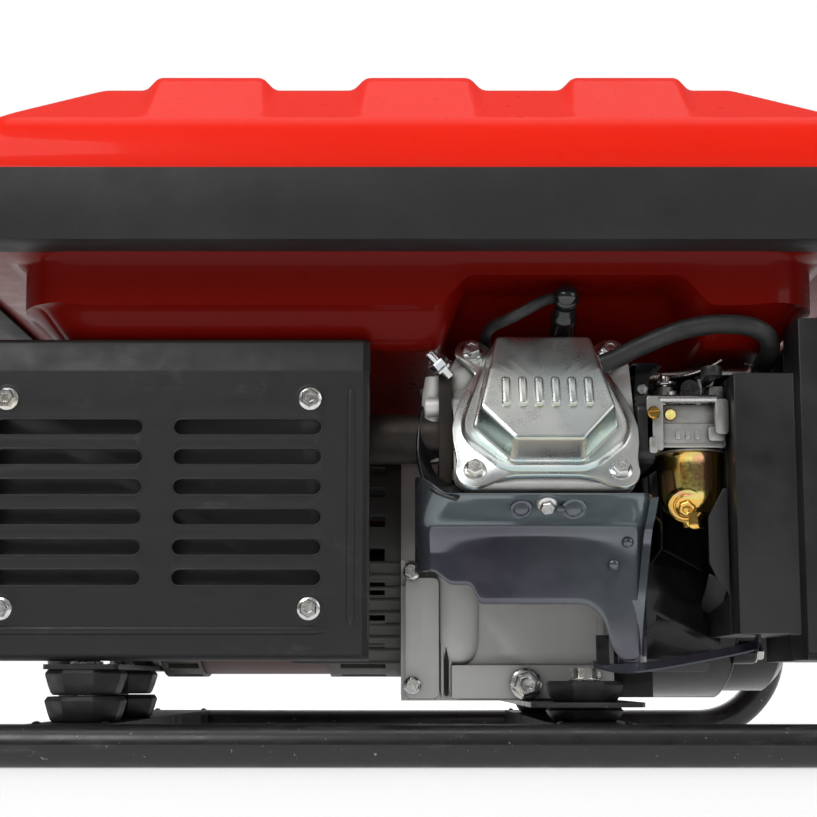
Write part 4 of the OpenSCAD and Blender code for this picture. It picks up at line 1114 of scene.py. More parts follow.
def engine_bolts():
    """Flanged hexagon bolts of the valve cover and the guard, with captive washers."""
    bolts = Form()
    for u, v in COVER_EARS:
        bolts.bolt(CYLINDER @ Vector((u, v, HEAD_TOP + 4.3)), N_DIR, 6, length=8, turn=0.3 + u * 0.02)
    guard_low, guard_high = span("muffler_guard")
    middle = (guard_low.x + guard_high.x) / 2
    for k, (sx, sz) in enumerate(((-1, -1), (1, -1), (-1, 1), (1, 1))):
        at = (middle + sx * 92.5, guard_low.y - 0.2, 157 + sz * 64)
        bolts.bolt(at, (0, -1, 0), 6, length=10, turn=0.5 * k)
    bolts.piece("flanged_bolts", "zinc", instead_of=("flange_bolts",), smooth=30)


def head_details():
    """Studs and nuts of the exhaust flange, a bracket bolt, and the boss above the cowl."""
    _, high = span("exhaust_pipe")
    nuts = Form()
    y, z = -146, 203
    for s in (-1, 1):
        m = place((high.x, y, z + s * 30), (-1, 0, 0))
        nuts.loft([circle(6.2, 6, 9), circle(6.6, 6, 9.6), circle(6.6, 6, 14.4), circle(6.0, 6, 15)], m)
        nuts.lathe([(3.9, -6), (3.9, 19), (3.2, 20)], m, 20)
    nuts.piece("exhaust_nuts", "hot_steel")
    stud = Form()
    m = place((12, -172, 247), (-0.62, -0.35, 0.62))
    stud.lathe([(3.0, -12), (3.0, 7.5), (2.3, 8.5)], m, 20)
    stud.loft([circle(6.0, 6, -4), circle(6.3, 6, -3.4), circle(6.3, 6, 1.0), circle(5.6, 6, 1.6)], m)
    stud.lathe([(7, -5.4), (7, -4)], m, 30)
    stud.piece("lifting_eye_stud", "zinc")
    # Cast side of the head with its cross tube, and the sleeve that seals it to the shroud
    cast = Form()
    cast.lathe([(17, -16), (17.5, -4), (15.5, 5), (10.5, 10), (0.1, 12.5)],
               place((24, -146, 238), (-0.4, -0.62, 0.67)), 40)
    cast.tube([(6, -158, 221), (16, -160, 221), (30, -160, 221)], 6.4, 24)
    cast.tube([(13, -152, 240), (11, -152, 226), (11, -150, 206), (14, -146, 190)], 8.5, 24)
    cast.piece("head_side_casting", "cast_aluminium", smooth=55)
    sleeve = Form()
    sleeve.ribbon([(6, -150, 226), (3, -156, 210), (2.5, -163, 192), (6, -172, 176), (14, -179, 167),
                   (26, -183, 162)], 15, 2.6, (0.4, 0.75, 0.5), step=3)
    sleeve.piece("head_sleeve", "rubber", smooth=60, bevel=0.8, material=MATERIALS["gloss_rubber"])


# ---- Cowl, strap, guard ----

def cowl():
    """The blued cowl under the cylinder: a face, a ledge out to the head, folded ends and a skirt."""
    left, right = -2.0, 144.0
    columns = 56

    def edge_fall(x):
        """How far the sheet turns back towards its ends."""
        r = 13.0
        a = max(left + r - x, 0)
        b = max(x - (right - 9), 0)
        return (r - math.sqrt(max(r * r - a * a, 0))) * 1.6 + b * b * 0.10

    def foot(x):
        """Height of the lower edge along the cowl."""
        if x < 10:
            return 118
        if x < 20:
            return 118 - (x - 10) * 0.9
        if x < 38:
            return 109 - max(x - 34, 0) * 3.0
        if x < 100:
            return 97
        if x < 120:
            return 97 - (1 - math.sqrt(max(1 - ((x - 100) / 20) ** 2, 0))) * 27
        return 70 - min(x - 120, 8) * 1.2

    def profile(x):
        """(y, z) points from the head down to the lower edge."""
        back = edge_fall(x)
        swell = 2.4 * math.sin(math.pi * (x - left) / (right - left))
        low = foot(x)
        lift = max(18 - (x - left), 0) / 18
        points = [(-187 + back * 1.4, 163 + lift * 14), (-186 + back * 1.4, 161.6 + lift * 13),
                  (-178 + back * 1.3, 157.6 + lift * 8), (-168 + back, 152.6 + lift * 3),
                  (-160 + back, 148.4), (-156.6 + back, 145), (-155.4 - swell * 0.3 + back, 140),
                  (-154.4 - swell * 0.7 + back, 132)]
        for k in range(1, 9):
            z = 132 + (low - 132) * k / 8
            points.append((-154 - swell + back + (132 - z) * 0.03, z))
        return points

    xs = [left + (right - left) * k / (columns - 1) for k in range(columns)]
    rows = [profile(x) for x in xs]
    form = Form().shell([[(x, y, z) for y, z in row] for x, row in zip(xs, rows)],
                        [[(x, y + 1.3, z + 0.3) for y, z in row] for x, row in zip(xs, rows)])
    form.piece("cowl_sheet", "cowl_blue_black", instead_of=("cylinder_cowl",), subdivide=1, smooth=60)

    # Folded right edge with its stiffening lip, down to the crankcase foot
    lip = Form()
    edge = [(143, -186, 160), (143.6, -172, 152), (144, -160, 146), (143.2, -156, 136), (141, -155, 116),
            (139, -153, 96), (137.6, -150, 76), (137, -148, 62)]
    lip.ribbon(edge, 5.0, 1.2, (0.9, -0.45, 0), step=4)
    skirt = [(133, -153, 100), (132, -152, 88), (131, -150, 74), (131, -148, 61)]
    lip.ribbon(skirt, lambda t: 15 - 3 * t, 1.2, (1, 0, 0), step=4)
    lip.piece("cowl_edge", "cowl_blue_black", smooth=60)

    # Ledge fixings: a bolt through a boss, a pressed eye at either side
    fixings = Form()
    at = Vector((78.5, -180.5, 156.5))
    down = Vector((0, -0.75, -0.66))
    fixings.bolt(at, down, 5, flange=True, length=14)
    fixings.piece("cowl_bolt", "zinc")
    boss = Form()
    boss.lathe([(6.5, -14), (6.5, -1.5), (5.8, -0.5)], place(at, down), 28)
    boss.piece("cowl_boss", "cast_aluminium")
    eyes = Form()
    for x, grow in ((63, 1.0), (95, 1.15)):
        m = place((x, -177, 154.6), down)
        eyes.lathe([(7.2 * grow, 0), (6.8 * grow, 1.3), (5.6 * grow, 1.7), (4.6 * grow, 1.2),
                    (4.2 * grow, 0.2), (0.1, 0.0)], m, 32)
    eyes.tube([(89, -178.6, 154), (84, -179.4, 154.4)], 2.2, 12, step=2)
    eyes.piece("cowl_eyes", "cowl_blue_black", smooth=50)
    rivet = Form()
    for x, z in ((131, 136), (122, 122), (26, 150)):
        rivet.lathe([(3.6, -0.6), (3.4, 0.4), (2.2, 1.2), (0.1, 1.5)],
                    place((x, -157.4, z), (0, -1, 0)), 20)
    rivet.piece("cowl_rivets", "cowl_blue_black", smooth=60)


def strap():
    """Thin steel strap from the crankcase foot to the air box."""
    form = Form()
    form.ribbon([(108, -158, 60.5), (118, -161, 58), (130, -163, 57.5), (150, -163, 60),
                 (180, -163, 65.5),
                 (204, -161, 70.5), (209, -160, 73), (210, -160, 80), (210, -160, 92)],
                lambda t: 5.5 + 3 * math.sin(min(t * 4, 1) * math.pi / 2), 1.4, (0, 0.82, 0.57), step=3)
    form.piece("steel_strap", "cowl_blue_black", smooth=50)
    hook = Form()
    hook.ribbon([(114, -159, 60), (114, -157, 66), (114.5, -153, 72), (115, -149, 78)], 8, 1.4, (1, 0, 0))
    hook.piece("strap_hook", "gloss_black", smooth=50)
    bolt = Form().bolt((210, -166, 84), (0, -1, 0), 5, length=8)
    bolt.piece("strap_bolt", "zinc")


def guard():
    """The slotted guard: one bent sheet with rounded bends, pressed beads and punched slots."""
    low, high = span("muffler_guard")
    t = 1.5
    face = low.y
    left, right = low.x, high.x
    middle = (left + right) / 2
    slot_mid = 131.7 + 18.4 * 1.5 - 1.5

    def bend(centre, radius, start, end, steps=5):
        return [(centre[0] + radius * math.cos(math.radians(start + (end - start) * k / steps)),
                 centre[1] + radius * math.sin(math.radians(start + (end - start) * k / steps)))
                for k in range(steps + 1)]

    # Outer skin from the top's back edge, down the face, to the bottom's back edge, as (y, z)
    outer = [(-152, high.z - 14.5), (-160, high.z - 9.6), (-170, high.z - 3.6)]
    outer += bend((-174.5, high.z - 5.4), 5.4, 62, 160)
    outer += [(-181.6, high.z - 12.5)]
    outer += bend((face + 6, 238), 6, 165, 180, 2)
    outer += [(face, z) for z in (222, 205, 190, 175, 160, 145, 130, 115, 100, 85)]
    outer += bend((face + 6, 68), 6, 180, 262, 4)
    outer += [(-173, low.z)]
    rings = []
    cells = 64
    for k in range(cells + 1):
        x = left + (right - left) * k / cells
        fall = sum(4 - math.sqrt(max(16 - (4 - edge) ** 2, 0)) for edge in (x - left,
                                                                            right - x) if edge < 4)
        rings.append([(x, y + fall, z) for y, z in outer])
    form = Form().shell(rings, [[(x, y + t, z) if y < -176 or z < 100 else (x, y + 0.5, z - t)
                                 for x, y, z in ring] for ring in rings])
    obj = form.piece("guard_sheet", "exhaust_black", instead_of=("muffler_guard",), smooth=30)

    def slot_path(side, row, radius, steps):
        """Outline of one punched slot, in (x, z)."""
        x, z = middle + side * 54.5, slot_mid + 18.4 * (row - 2.5)
        return ear_arc((x + 40.2, z), radius, -90, 90, steps) + ear_arc((x - 40.2, z), radius, 90, 270,
                                                                        steps)

    slots, rims = Form(), Form()
    for side in (-1, 1):
        for row in range(6):
            slots.prism(slot_path(side, row, 4.75, 10), face - 4, face + 5, facing_front((0, 0, 0)))
            path = slot_path(side, row, 5.2, 8)
            rims.tube([(x, face + 0.35, z) for x, z in path + path[:1]], 0.75, 8, step=0)
    cut(obj, slots)
    add_bevel(obj, 0.45, 2, 50)
    obj.modifiers.move(len(obj.modifiers) - 1, 0)

    beads = Form()

    def bead(a, b, width=2.6, height=1.3):
        a, b = Vector(a), Vector(b)
        along = (b - a).normalized()
        side = along.cross(Vector((0, 1, 0))).normalized()
        rings = []
        for share, size in ((0, 0.05), (0.012, 0.5), (0.03, 0.9), (0.05, 1), (0.95, 1), (0.97, 0.9),
                            (0.988, 0.5), (1, 0.05)):
            across = [(width * size * math.cos(t), 0.2 - height * size * math.sin(t))
                      for t in (math.pi * k / 8 for k in range(9))] + [(-width * size, 1.0),
                                                                       (width * size, 1.0)]
            rings.append([a + (b - a) * share + side * p + Vector((0, q, 0)) for p, q in across])
        beads.loft(rings)

    bead((right - 11, face, 82), (right - 11, face, 228))
    bead((left + 11, face, 82), (left + 11, face, 228))
    bead((left + 24, face, 80), (right - 24, face, 80))
    beads.piece("guard_beads", "exhaust_black", smooth=60)
    rims.piece("guard_slot_rims", "exhaust_black", smooth=60)
    washers = Form()
    for sx in (-1, 1):
        for sz in (-1, 1):
            washers.lathe([(9.5, 0.3), (9.3, 0.9), (8.2, 1.2), (6.0, 1.2), (5.6, 0.8), (3, 0.8)],
                          place((middle + sx * 92.5, face + 0.9, 157 + sz * 64), (0, -1, 0)), 36)
    washers.piece("guard_bosses", "exhaust_black")
    sides = Form()
    for x in (left + 0.75, right - 0.75):
        outline = [(face + 3, 74), (-168, 74), (-166, 80), (-166, 224), (-168, 230), (face + 3, 230)]
        sides.prism(outline, -0.75, 0.75, axes((0, 1, 0), (0, 0, 1), (1, 0, 0), (x, 0, 0)))
    sides.piece("guard_ends", "exhaust_black", bevel=0.4)


# ---- Carburettor ----

def block(form, low, high, radius=1.5):
    """A box with rounded upright corners, seen from the front (-Y)."""
    (x0, y0, z0), (x1, y1, z1) = low, high
    outline = rounded_box((x1 - x0) / 2, (z1 - z0) / 2, radius, 4)
    return form.prism(outline, 0, y1 - y0, facing_front(((x0 + x1) / 2, y0, (z0 + z1) / 2)))


def slotted_screw(form, at, aim, radius, turn=0.5):
    """A cheese-head screw with its slot."""
    m = place(at, aim, turn)
    form.lathe([(radius * 0.9, -1), (radius, 0), (radius, 1.6), (radius * 0.85, 2.2)], m, 28)
    for s in (-1, 1):
        half = [(radius * 0.8 * math.cos(a), s * (0.7 + radius * 0.62 * math.sin(a)))
                for a in (math.pi * k / 10 for k in range(11))]
        form.prism(half if s > 0 else half[::-1], 2.1, 2.9, m)


def crossed(form, at, half, wide, low, high, turn=0.0):
    """Two crossed bars on the face of a knob or a screw."""
    for a in (turn, turn + math.pi / 2):
        form.prism([(-half, -wide), (half, -wide), (half, wide), (-half, wide)], low, high,
                   at @ Matrix.Rotation(a, 4, "Z"))


def carburettor():
    low, high = span("carburettor")
    x0, x1 = low.x, high.x
    y, z = (low.y + high.y) / 2, 203.0
    body = Form()
    block(body, (x0 - 5, y - 30, z - 12), (x0 + 5, y + 28, z + 22))
    block(body, (x0 - 4, y - 31.5, z - 14), (x0 + 1, y - 20, z - 4))
    block(body, (x0 + 3, y - 25, z + 3), (x1 - 3, y + 20, z + 17.5), 3)
    block(body, (x0 + 4, y - 27, z - 10), (x1 - 2, y + 20, z + 5), 2)
    block(body, (x0 + 4, y - 27.7, z - 10), (x1 - 4, y, z - 7.4), 1)
    block(body, (x1 - 9, y - 31, z - 2), (x1 - 0.6, y + 26, z + 20), 2.5)
    block(body, (x1 - 13, y - 29, z - 6), (x1 - 3, y + 10, z + 3), 2)
    block(body, (x1 - 10, y - 20, z + 19), (x1 - 1, y, z + 30), 1.5)
    for k in range(3):
        block(body, (x0 + 13 + 6 * k, y - 27.5, z - 5), (x0 + 16 + 6 * k, y, z + 1), 1.2)
    body.lathe([(23, -9), (23.6, -8.4), (23.6, -6.2), (21.6, -5.4), (20, -2), (19, 2)],
               place((x0 + 27, y, z - 2)), 44)
    for x, top in ((x0 + 12, 33.6), (x0 + 34, 31.6)):
        body.lathe([(7.5, 14), (7, 18), (5.6, 20), (5.0, 22), (5.0, top - 0.5), (4.4, top), (3.2, top)],
                   place((x, y, z)), 26)
    for x in (x0 + 13, x0 + 21):
        body.lathe([(5.6, 12), (5.2, 17), (3.4, 18.5), (3.2, 26), (2.6, 27)], place((x, y - 19, z)), 22)
    body.tube([(x0 + 23, y + 12, z - 8), (x0 + 23, y + 26.5, z - 8)], 3.4, 18)
    body.piece("carb_casting", "die_cast", instead_of=("carburettor",), bevel=0.6)

    gasket = Form()
    block(gasket, (x0 - 6.6, y - 28, z - 13), (x0 - 5, y + 28, z + 21), 3)
    gasket.piece("carb_gasket", "rubber")

    shaft = Form().tube([(x0 + 3, y - 28.5, z + 20.2), (x1 - 8, y - 28.5, z + 20.2)], 2.7, 22)
    shaft.tube([(x0 + 30, y - 21, z + 24), (x0 + 30, y - 21, z + 34)], 1.6, 14)
    shaft.piece("carb_shaft", "machined_steel", smooth=50)
    brass = Form()
    slotted_screw(brass, (x0 - 1, y - 31.2, z + 11), (0, -1, 0), 3.9, 0.1)
    slotted_screw(brass, (x0 + 10.5, y - 25, z + 11), (-0.2, -1, -0.15), 3.7, 1.1)
    brass.piece("carb_screws", "gold_passivate")
    knob = Form()
    m = place((x0 + 23, y - 24, z + 27), (0, -1, 0.1))
    knob.lathe([(4, -6), (4.4, 0), (5.9, 0.6), (6.1, 1.4), (5.7, 2.2), (5.0, 2.0), (4.6, 1.2),
                (0.1, 1.2)],
               m, 32)
    crossed(knob, m, 3.6, 0.6, 1.0, 2.1)
    knob.piece("carb_limiter_cap", "black_plastic", bevel=0.2)

    # Float bowl with its drain bolt on a sloping seat and the flat tang of the centre bolt
    bowl = Form()
    cx = x0 + 27.5
    m = place((cx, y, 0))
    bowl.lathe([(21.5, 194), (22.0, 193.4), (22.0, 191.6), (21.2, 191), (20.4, 188), (20.2, 182),
                (20.0, 168),
                (19.6, 163), (17.8, 157.5), (14, 154.5), (8, 153.4), (0.1, 153.2)], m, 56)
    seat = place((cx - 6, y - 13.5, 158.5), (-0.12, -0.82, -0.56))
    bowl.lathe([(12.6, -9), (12.0, -1), (11.2, 0.6), (9.4, 1.2), (8.2, 0.8), (7.8, 0)], seat, 40)
    bowl.lathe([(7.2, 0), (7.2, 1.2), (6.6, 1.6)], seat, 32)
    bowl.ribbon([(cx - 3.5, y - 19, 153.5), (cx - 3.2, y - 19.2, 148), (cx - 2.6, y - 19.0, 144.6),
                 (cx + 1, y - 18.4, 144.0)], 5.4, 1.4, (1, 0, 0), step=2)
    bowl.lathe([(7, 153.4), (7, 152), (6.4, 151.6)], m, 30)
    bowl.loft([circle(6.2, 6, 151.8, 0.2), circle(6.2, 6, 146.6, 0.2), circle(5.4, 6, 145.8, 0.2)], m)
    bowl.piece("carb_bowl", "gold_passivate", instead_of=("carburettor_bowl",), smooth=45)
    drain = Form()
    drain.bolt(seat @ Vector((0, 0, 1.5)), seat.to_3x3().col[2], 6, flange=False, turn=0.35)
    drain.piece("carb_drain_bolt", "gold_passivate", bevel=0.3)


def carb_surroundings():
    """Pressed brackets, governor rod and spring between the tank and the carburettor."""
    plates = Form()

    def plate(points, y, thick=1.4):
        plates.prism(points, 0, thick, facing_front((0, y, 0)))

    # Coil bracket behind, with its bent foot, and the control plate above the carburettor
    plate([(128, 178), (141, 178), (141, 214), (150, 226), (188, 226), (188, 250), (150, 252), (136, 246),
           (128, 232)], -112)
    plate([(136, 226), (144, 222), (146, 240), (154, 247), (150, 250), (138, 250)], -158)
    plate([(178, 232), (187, 230), (189, 244), (182, 247), (176, 242)], -152)
    plate([(126, 232), (226, 232), (226, 256), (126, 256)], -96)
    plates.ribbon([(141, -112, 252), (141, -124, 253), (141, -140, 251), (141, -158, 249)], 11, 1.4,
                  (1, 0, 0))
    plates.ribbon([(183, -112, 250), (183, -130, 249), (183, -152, 246)], 9, 1.4, (1, 0, 0))
    plates.piece("control_bracket", "gloss_black", bevel=0.35)
    rod = Form()
    rod.tube([(152, -128, 247), (160, -138, 245), (172, -150, 244), (184, -156, 247), (192, -157, 252)],
             1.1, 12)
    coil = [(146 + 0.09 * k, -132 + 2.3 * math.cos(k * 0.9), 246 + 2.3 * math.sin(k * 0.9))
            for k in range(150)]
    rod.tube(coil, 0.55, 8, step=0)
    rod.tube([(150, -157.5, 247), (147, -150, 246.4), (144, -142, 245)], 0.9, 10)
    rod.piece("governor_rod", "zinc", smooth=60)
    fixings = Form()
    fixings.bolt((184, -153.5, 238), (0, -1, 0), 4, flange=False)
    fixings.bolt((141, -159.6, 232), (0, -1, 0), 4, flange=False)
    fixings.piece("bracket_screws", "zinc")


# ---- Fan housing ----

def sheet(form, points, faces, thick=1.3, way=(0, 1, 0)):
    """A folded sheet: numbered points and faces, given a back in one direction."""
    back = [Vector(p) + Vector(way) * thick for p in points]
    n = len(points)
    sides = [side for f in faces for side in zip(f, f[1:] + f[:1])]
    rim = [(a, b, b + n, a + n) for a, b in sides if (b, a) not in sides]
    form.put([Vector(p) for p in points] + back,
             list(faces) + [tuple(i + n for i in f[::-1]) for f in faces] + rim)


def fan_shroud():
    """The folded side of the fan housing, between the cowl and the air box."""
    points = [
        (146.4, -118, 181), (147.7, -118, 165), (158.2, -117, 151.5), (158.0, -117, 134.8),
        (151.7, -117.5, 126.3), (143.8, -118, 117.8), (140.5, -118, 105.4), (135.3, -116, 64.7),
        # back along the housing's face
        (160, -99, 190), (163, -96, 165), (166, -96, 152), (168, -98, 137),
        # the large facet's right side
        (194, -106, 118), (200, -104, 101), (200, -100, 72), (194, -96, 62),
        # the return towards the crankcase
        (140, -96, 181), (141, -96, 160), (146, -94, 132), (138, -94, 112), (131, -94, 66),
        (192, -90, 56), (134, -98, 56),
    ]
    faces = [(0, 8, 9, 1), (1, 9, 10, 2), (2, 10, 11, 3), (3, 11, 12, 4), (4, 12, 13, 5), (5, 13, 14, 6),
             (6, 14, 15, 7), (7, 15, 21, 22)]
    form = Form()
    sheet(form, points, faces)
    form.piece("fan_shroud", "gloss_black", bevel=1.6, segments=3, limit=12, smooth=50)
    edge = Form()
    edge.ribbon([points[k] for k in range(8)], 14, 1.2, (0, 1, 0), step=0)
    edge.tube([(p[0], p[1] - 0.6, p[2]) for p in points[:8]], 1.1, 10, step=0)
    edge.tube([(160.4, -106, 190), (160.4, -106, 156), (158.6, -112, 152)], 1.0, 10, step=0)
    edge.piece("fan_shroud_edge", "gloss_black", smooth=60)
    stay = Form()
    stay.prism([(178.5, 150), (178.5, 122), (183, 112), (190.6, 102), (190.6, 168), (188, 168)], 0, 1.6,
               facing_front((0, -171, 0)))
    stay.ribbon([(184, -170, 112), (186, -150, 104), (190, -120, 98), (194, -104, 94)], 13, 1.6,
                (1, 0, -0.5))
    stay.piece("carb_stay", "panel_paint", bevel=0.5)


# ---- Crankcase and alternator ----

def crankcase_details():
    """Split line, the rounded upright rib, the bearing boss, the foot ledge and small bolts."""
    form = Form()
    half = [(-1, 0)] + [(-math.cos(math.pi * k / 8),
                         -math.sin(math.pi * k / 8)) for k in range(9)] + [(1, 0)]

    def rib(x, low, high, width, depth):
        form.loft([[(x + a * width * size, b * depth * size - 95.5, low + (high - low) * share) for a,
                    b in half]
                   for share,
                   size in ((0, 0.1), (0.02, 0.6), (0.05, 1), (0.95, 1), (0.98, 0.6), (1, 0.1))])

    rib(3.5, 66, 108, 4.2, 3.2)
    rib(16.5, 40, 114, 1.8, 3.0)
    rib(21.5, 40, 116, 1.8, 3.4)
    block(form, (22.5, -100.8, 38.6), (128, -92, 60.2), 1.2)
    block(form, (-8, -98.6, 38.6), (14, -92, 118), 4)
    # Upright shoulder beside the seam, with a round foot
    form.loft([[(27 + a * 13.5 * size, -95 + b * 6.5 * size, z) for a, b in half] for z, size in
               ((60, 0.08), (61, 0.42), (64, 0.70), (69, 0.90), (76, 1), (90, 1.02), (122, 1.02))])
    form.lathe([(9.6, -3), (9.0, 1.6), (8, 2.6)], place((71, -99.8, 48), (0, -1, 0)), 32)
    form.piece("case_ribs", "cast_aluminium", bevel=1.0, segments=3, smooth=55)
    seam = Form().tube([(19, -98.4, 40), (19, -98.8, 80), (19, -98.2, 116)], 0.9, 8)
    seam.piece("case_gasket", "rubber")
    bolts = Form()
    bolts.bolt((-3.5, -98.6, 47), (0, -1, 0), 5, flange=True, length=6, turn=0.2)
    bolts.bolt((-4, -99, 122), (-0.1, -1, 0.15), 5, flange=True, length=6, turn=0.6)
    bolts.bolt((117, -101, 54), (0, -1, 0), 4, flange=False, turn=0.6)
    bolts.piece("case_bolts", "zinc")
    plug = Form().bolt((71, -102.6, 48), (0, -1, 0), 9, flange=True, length=6, turn=0.25)
    plug.piece("oil_drain_bolt", "zinc", instead_of=("drain_plug",), bevel=0.35)


def alternator_details():
    """Cooling louvres around the drive end, and the wound coil ends behind them."""
    core_low, core_high = span("stator_core")
    y, z = CRANK.y, CRANK.z
    fins = Form()
    r = (core_high.z - core_low.z) / 2
    left, right = core_high.x + 2, -12
    for side in (-1, 1):
        for k in range(9):
            zz = z - 72 + 8.2 * k
            yy = y + side * math.sqrt(max((r + 1.5) ** 2 - (zz - z) ** 2, 0)) if abs(zz - z) < r else y
            inner, outer = sorted((yy, yy + side * 2.6))
            block(fins, (left - 28, inner, zz - 1.2), (right, outer, zz + 1.2), 0.8)
    fins.piece("alternator_louvres", "cast_aluminium", bevel=0.4, material=MATERIALS["alternator_bells"])
    wound = Form()
    for k in range(48):
        a = 2 * math.pi * k / 48
        c, s = math.cos(a), math.sin(a)
        wound.tube([(left - 2, y + c * 66, z + s * 66), (left + 10, y + c * 69, z + s * 69),
                    (left + 14, y + math.cos(a + 0.1) * 66, z + math.sin(a + 0.1) * 66),
                    (left + 8, y + math.cos(a + 0.2) * 60, z + math.sin(a + 0.2) * 60)], 3.0, 8, step=4)
    wound.piece("coil_ends", "winding", smooth=60)


# ---- Rubber mounts ----

MOUNT_CUPS = [(-204, y, base, top) for y in (-160, -55) for base, top in ((25, 40.6), (41.4, 57))] \
    + [(103, y, base, top) for y in (-150, 97) for base, top in ((25, 34), (37, 50))]


def mounts():
    """Eight-sided cups in ringed pairs; the metal sleeve and washers between them are not made here."""
    cups = Form()
    for x, y, base, top in MOUNT_CUPS:
        height = top - base
        rows = ((19.995, 0), (21.5, 1.6), (23.25, height * 0.4), (25, height * 0.78), (25, height - 2.4),
                (23.25, height))
        cups.loft([circle(r, 8, base + dz, 0.39) for r, dz in rows], place((x, y, 0)))
    cups.piece("mount_rubbers", "rubber", instead_of=("rubber_mounts",), bevel=1.8, segments=3, limit=25,
               smooth=40)


# ---- Panel side, ends and top ----

def clear_plastic():
    s = Shader("clear_plastic", (0.95, 0.96, 0.96), 0.04, Transmission_Weight=1.0, IOR=1.46)
    s.rough(s.spread(s.noise(90, 3), 0.3, 0.7, 0.02, 0.10))
    return s.material


def star(radius, depth, teeth, fine=4):
    """Outline of a knurled knob."""
    rays = [(a, radius - depth * (0.5 + 0.5 * math.cos(teeth * a))) for a in turns_of(teeth * fine)[:-1]]
    return [(r * math.cos(a), r * math.sin(a)) for a, r in rays]


def dial(marks, matrix, radius, start, end, count):
    """Tick marks on an arc, each a thin raised bar."""
    for k in range(count):
        a = math.radians(start + (end - start) * k / (count - 1))
        inner = radius - (3.4 if k % 5 == 0 else 1.8)
        wide = 0.45 if k % 5 == 0 else 0.25
        c, s = math.cos(a), math.sin(a)
        corners = [(inner, -wide), (radius, -wide), (radius, wide), (inner, wide)]
        marks.prism([(r * c - w * s, r * s + w * c) for r, w in corners], 0.05, 0.16, matrix)


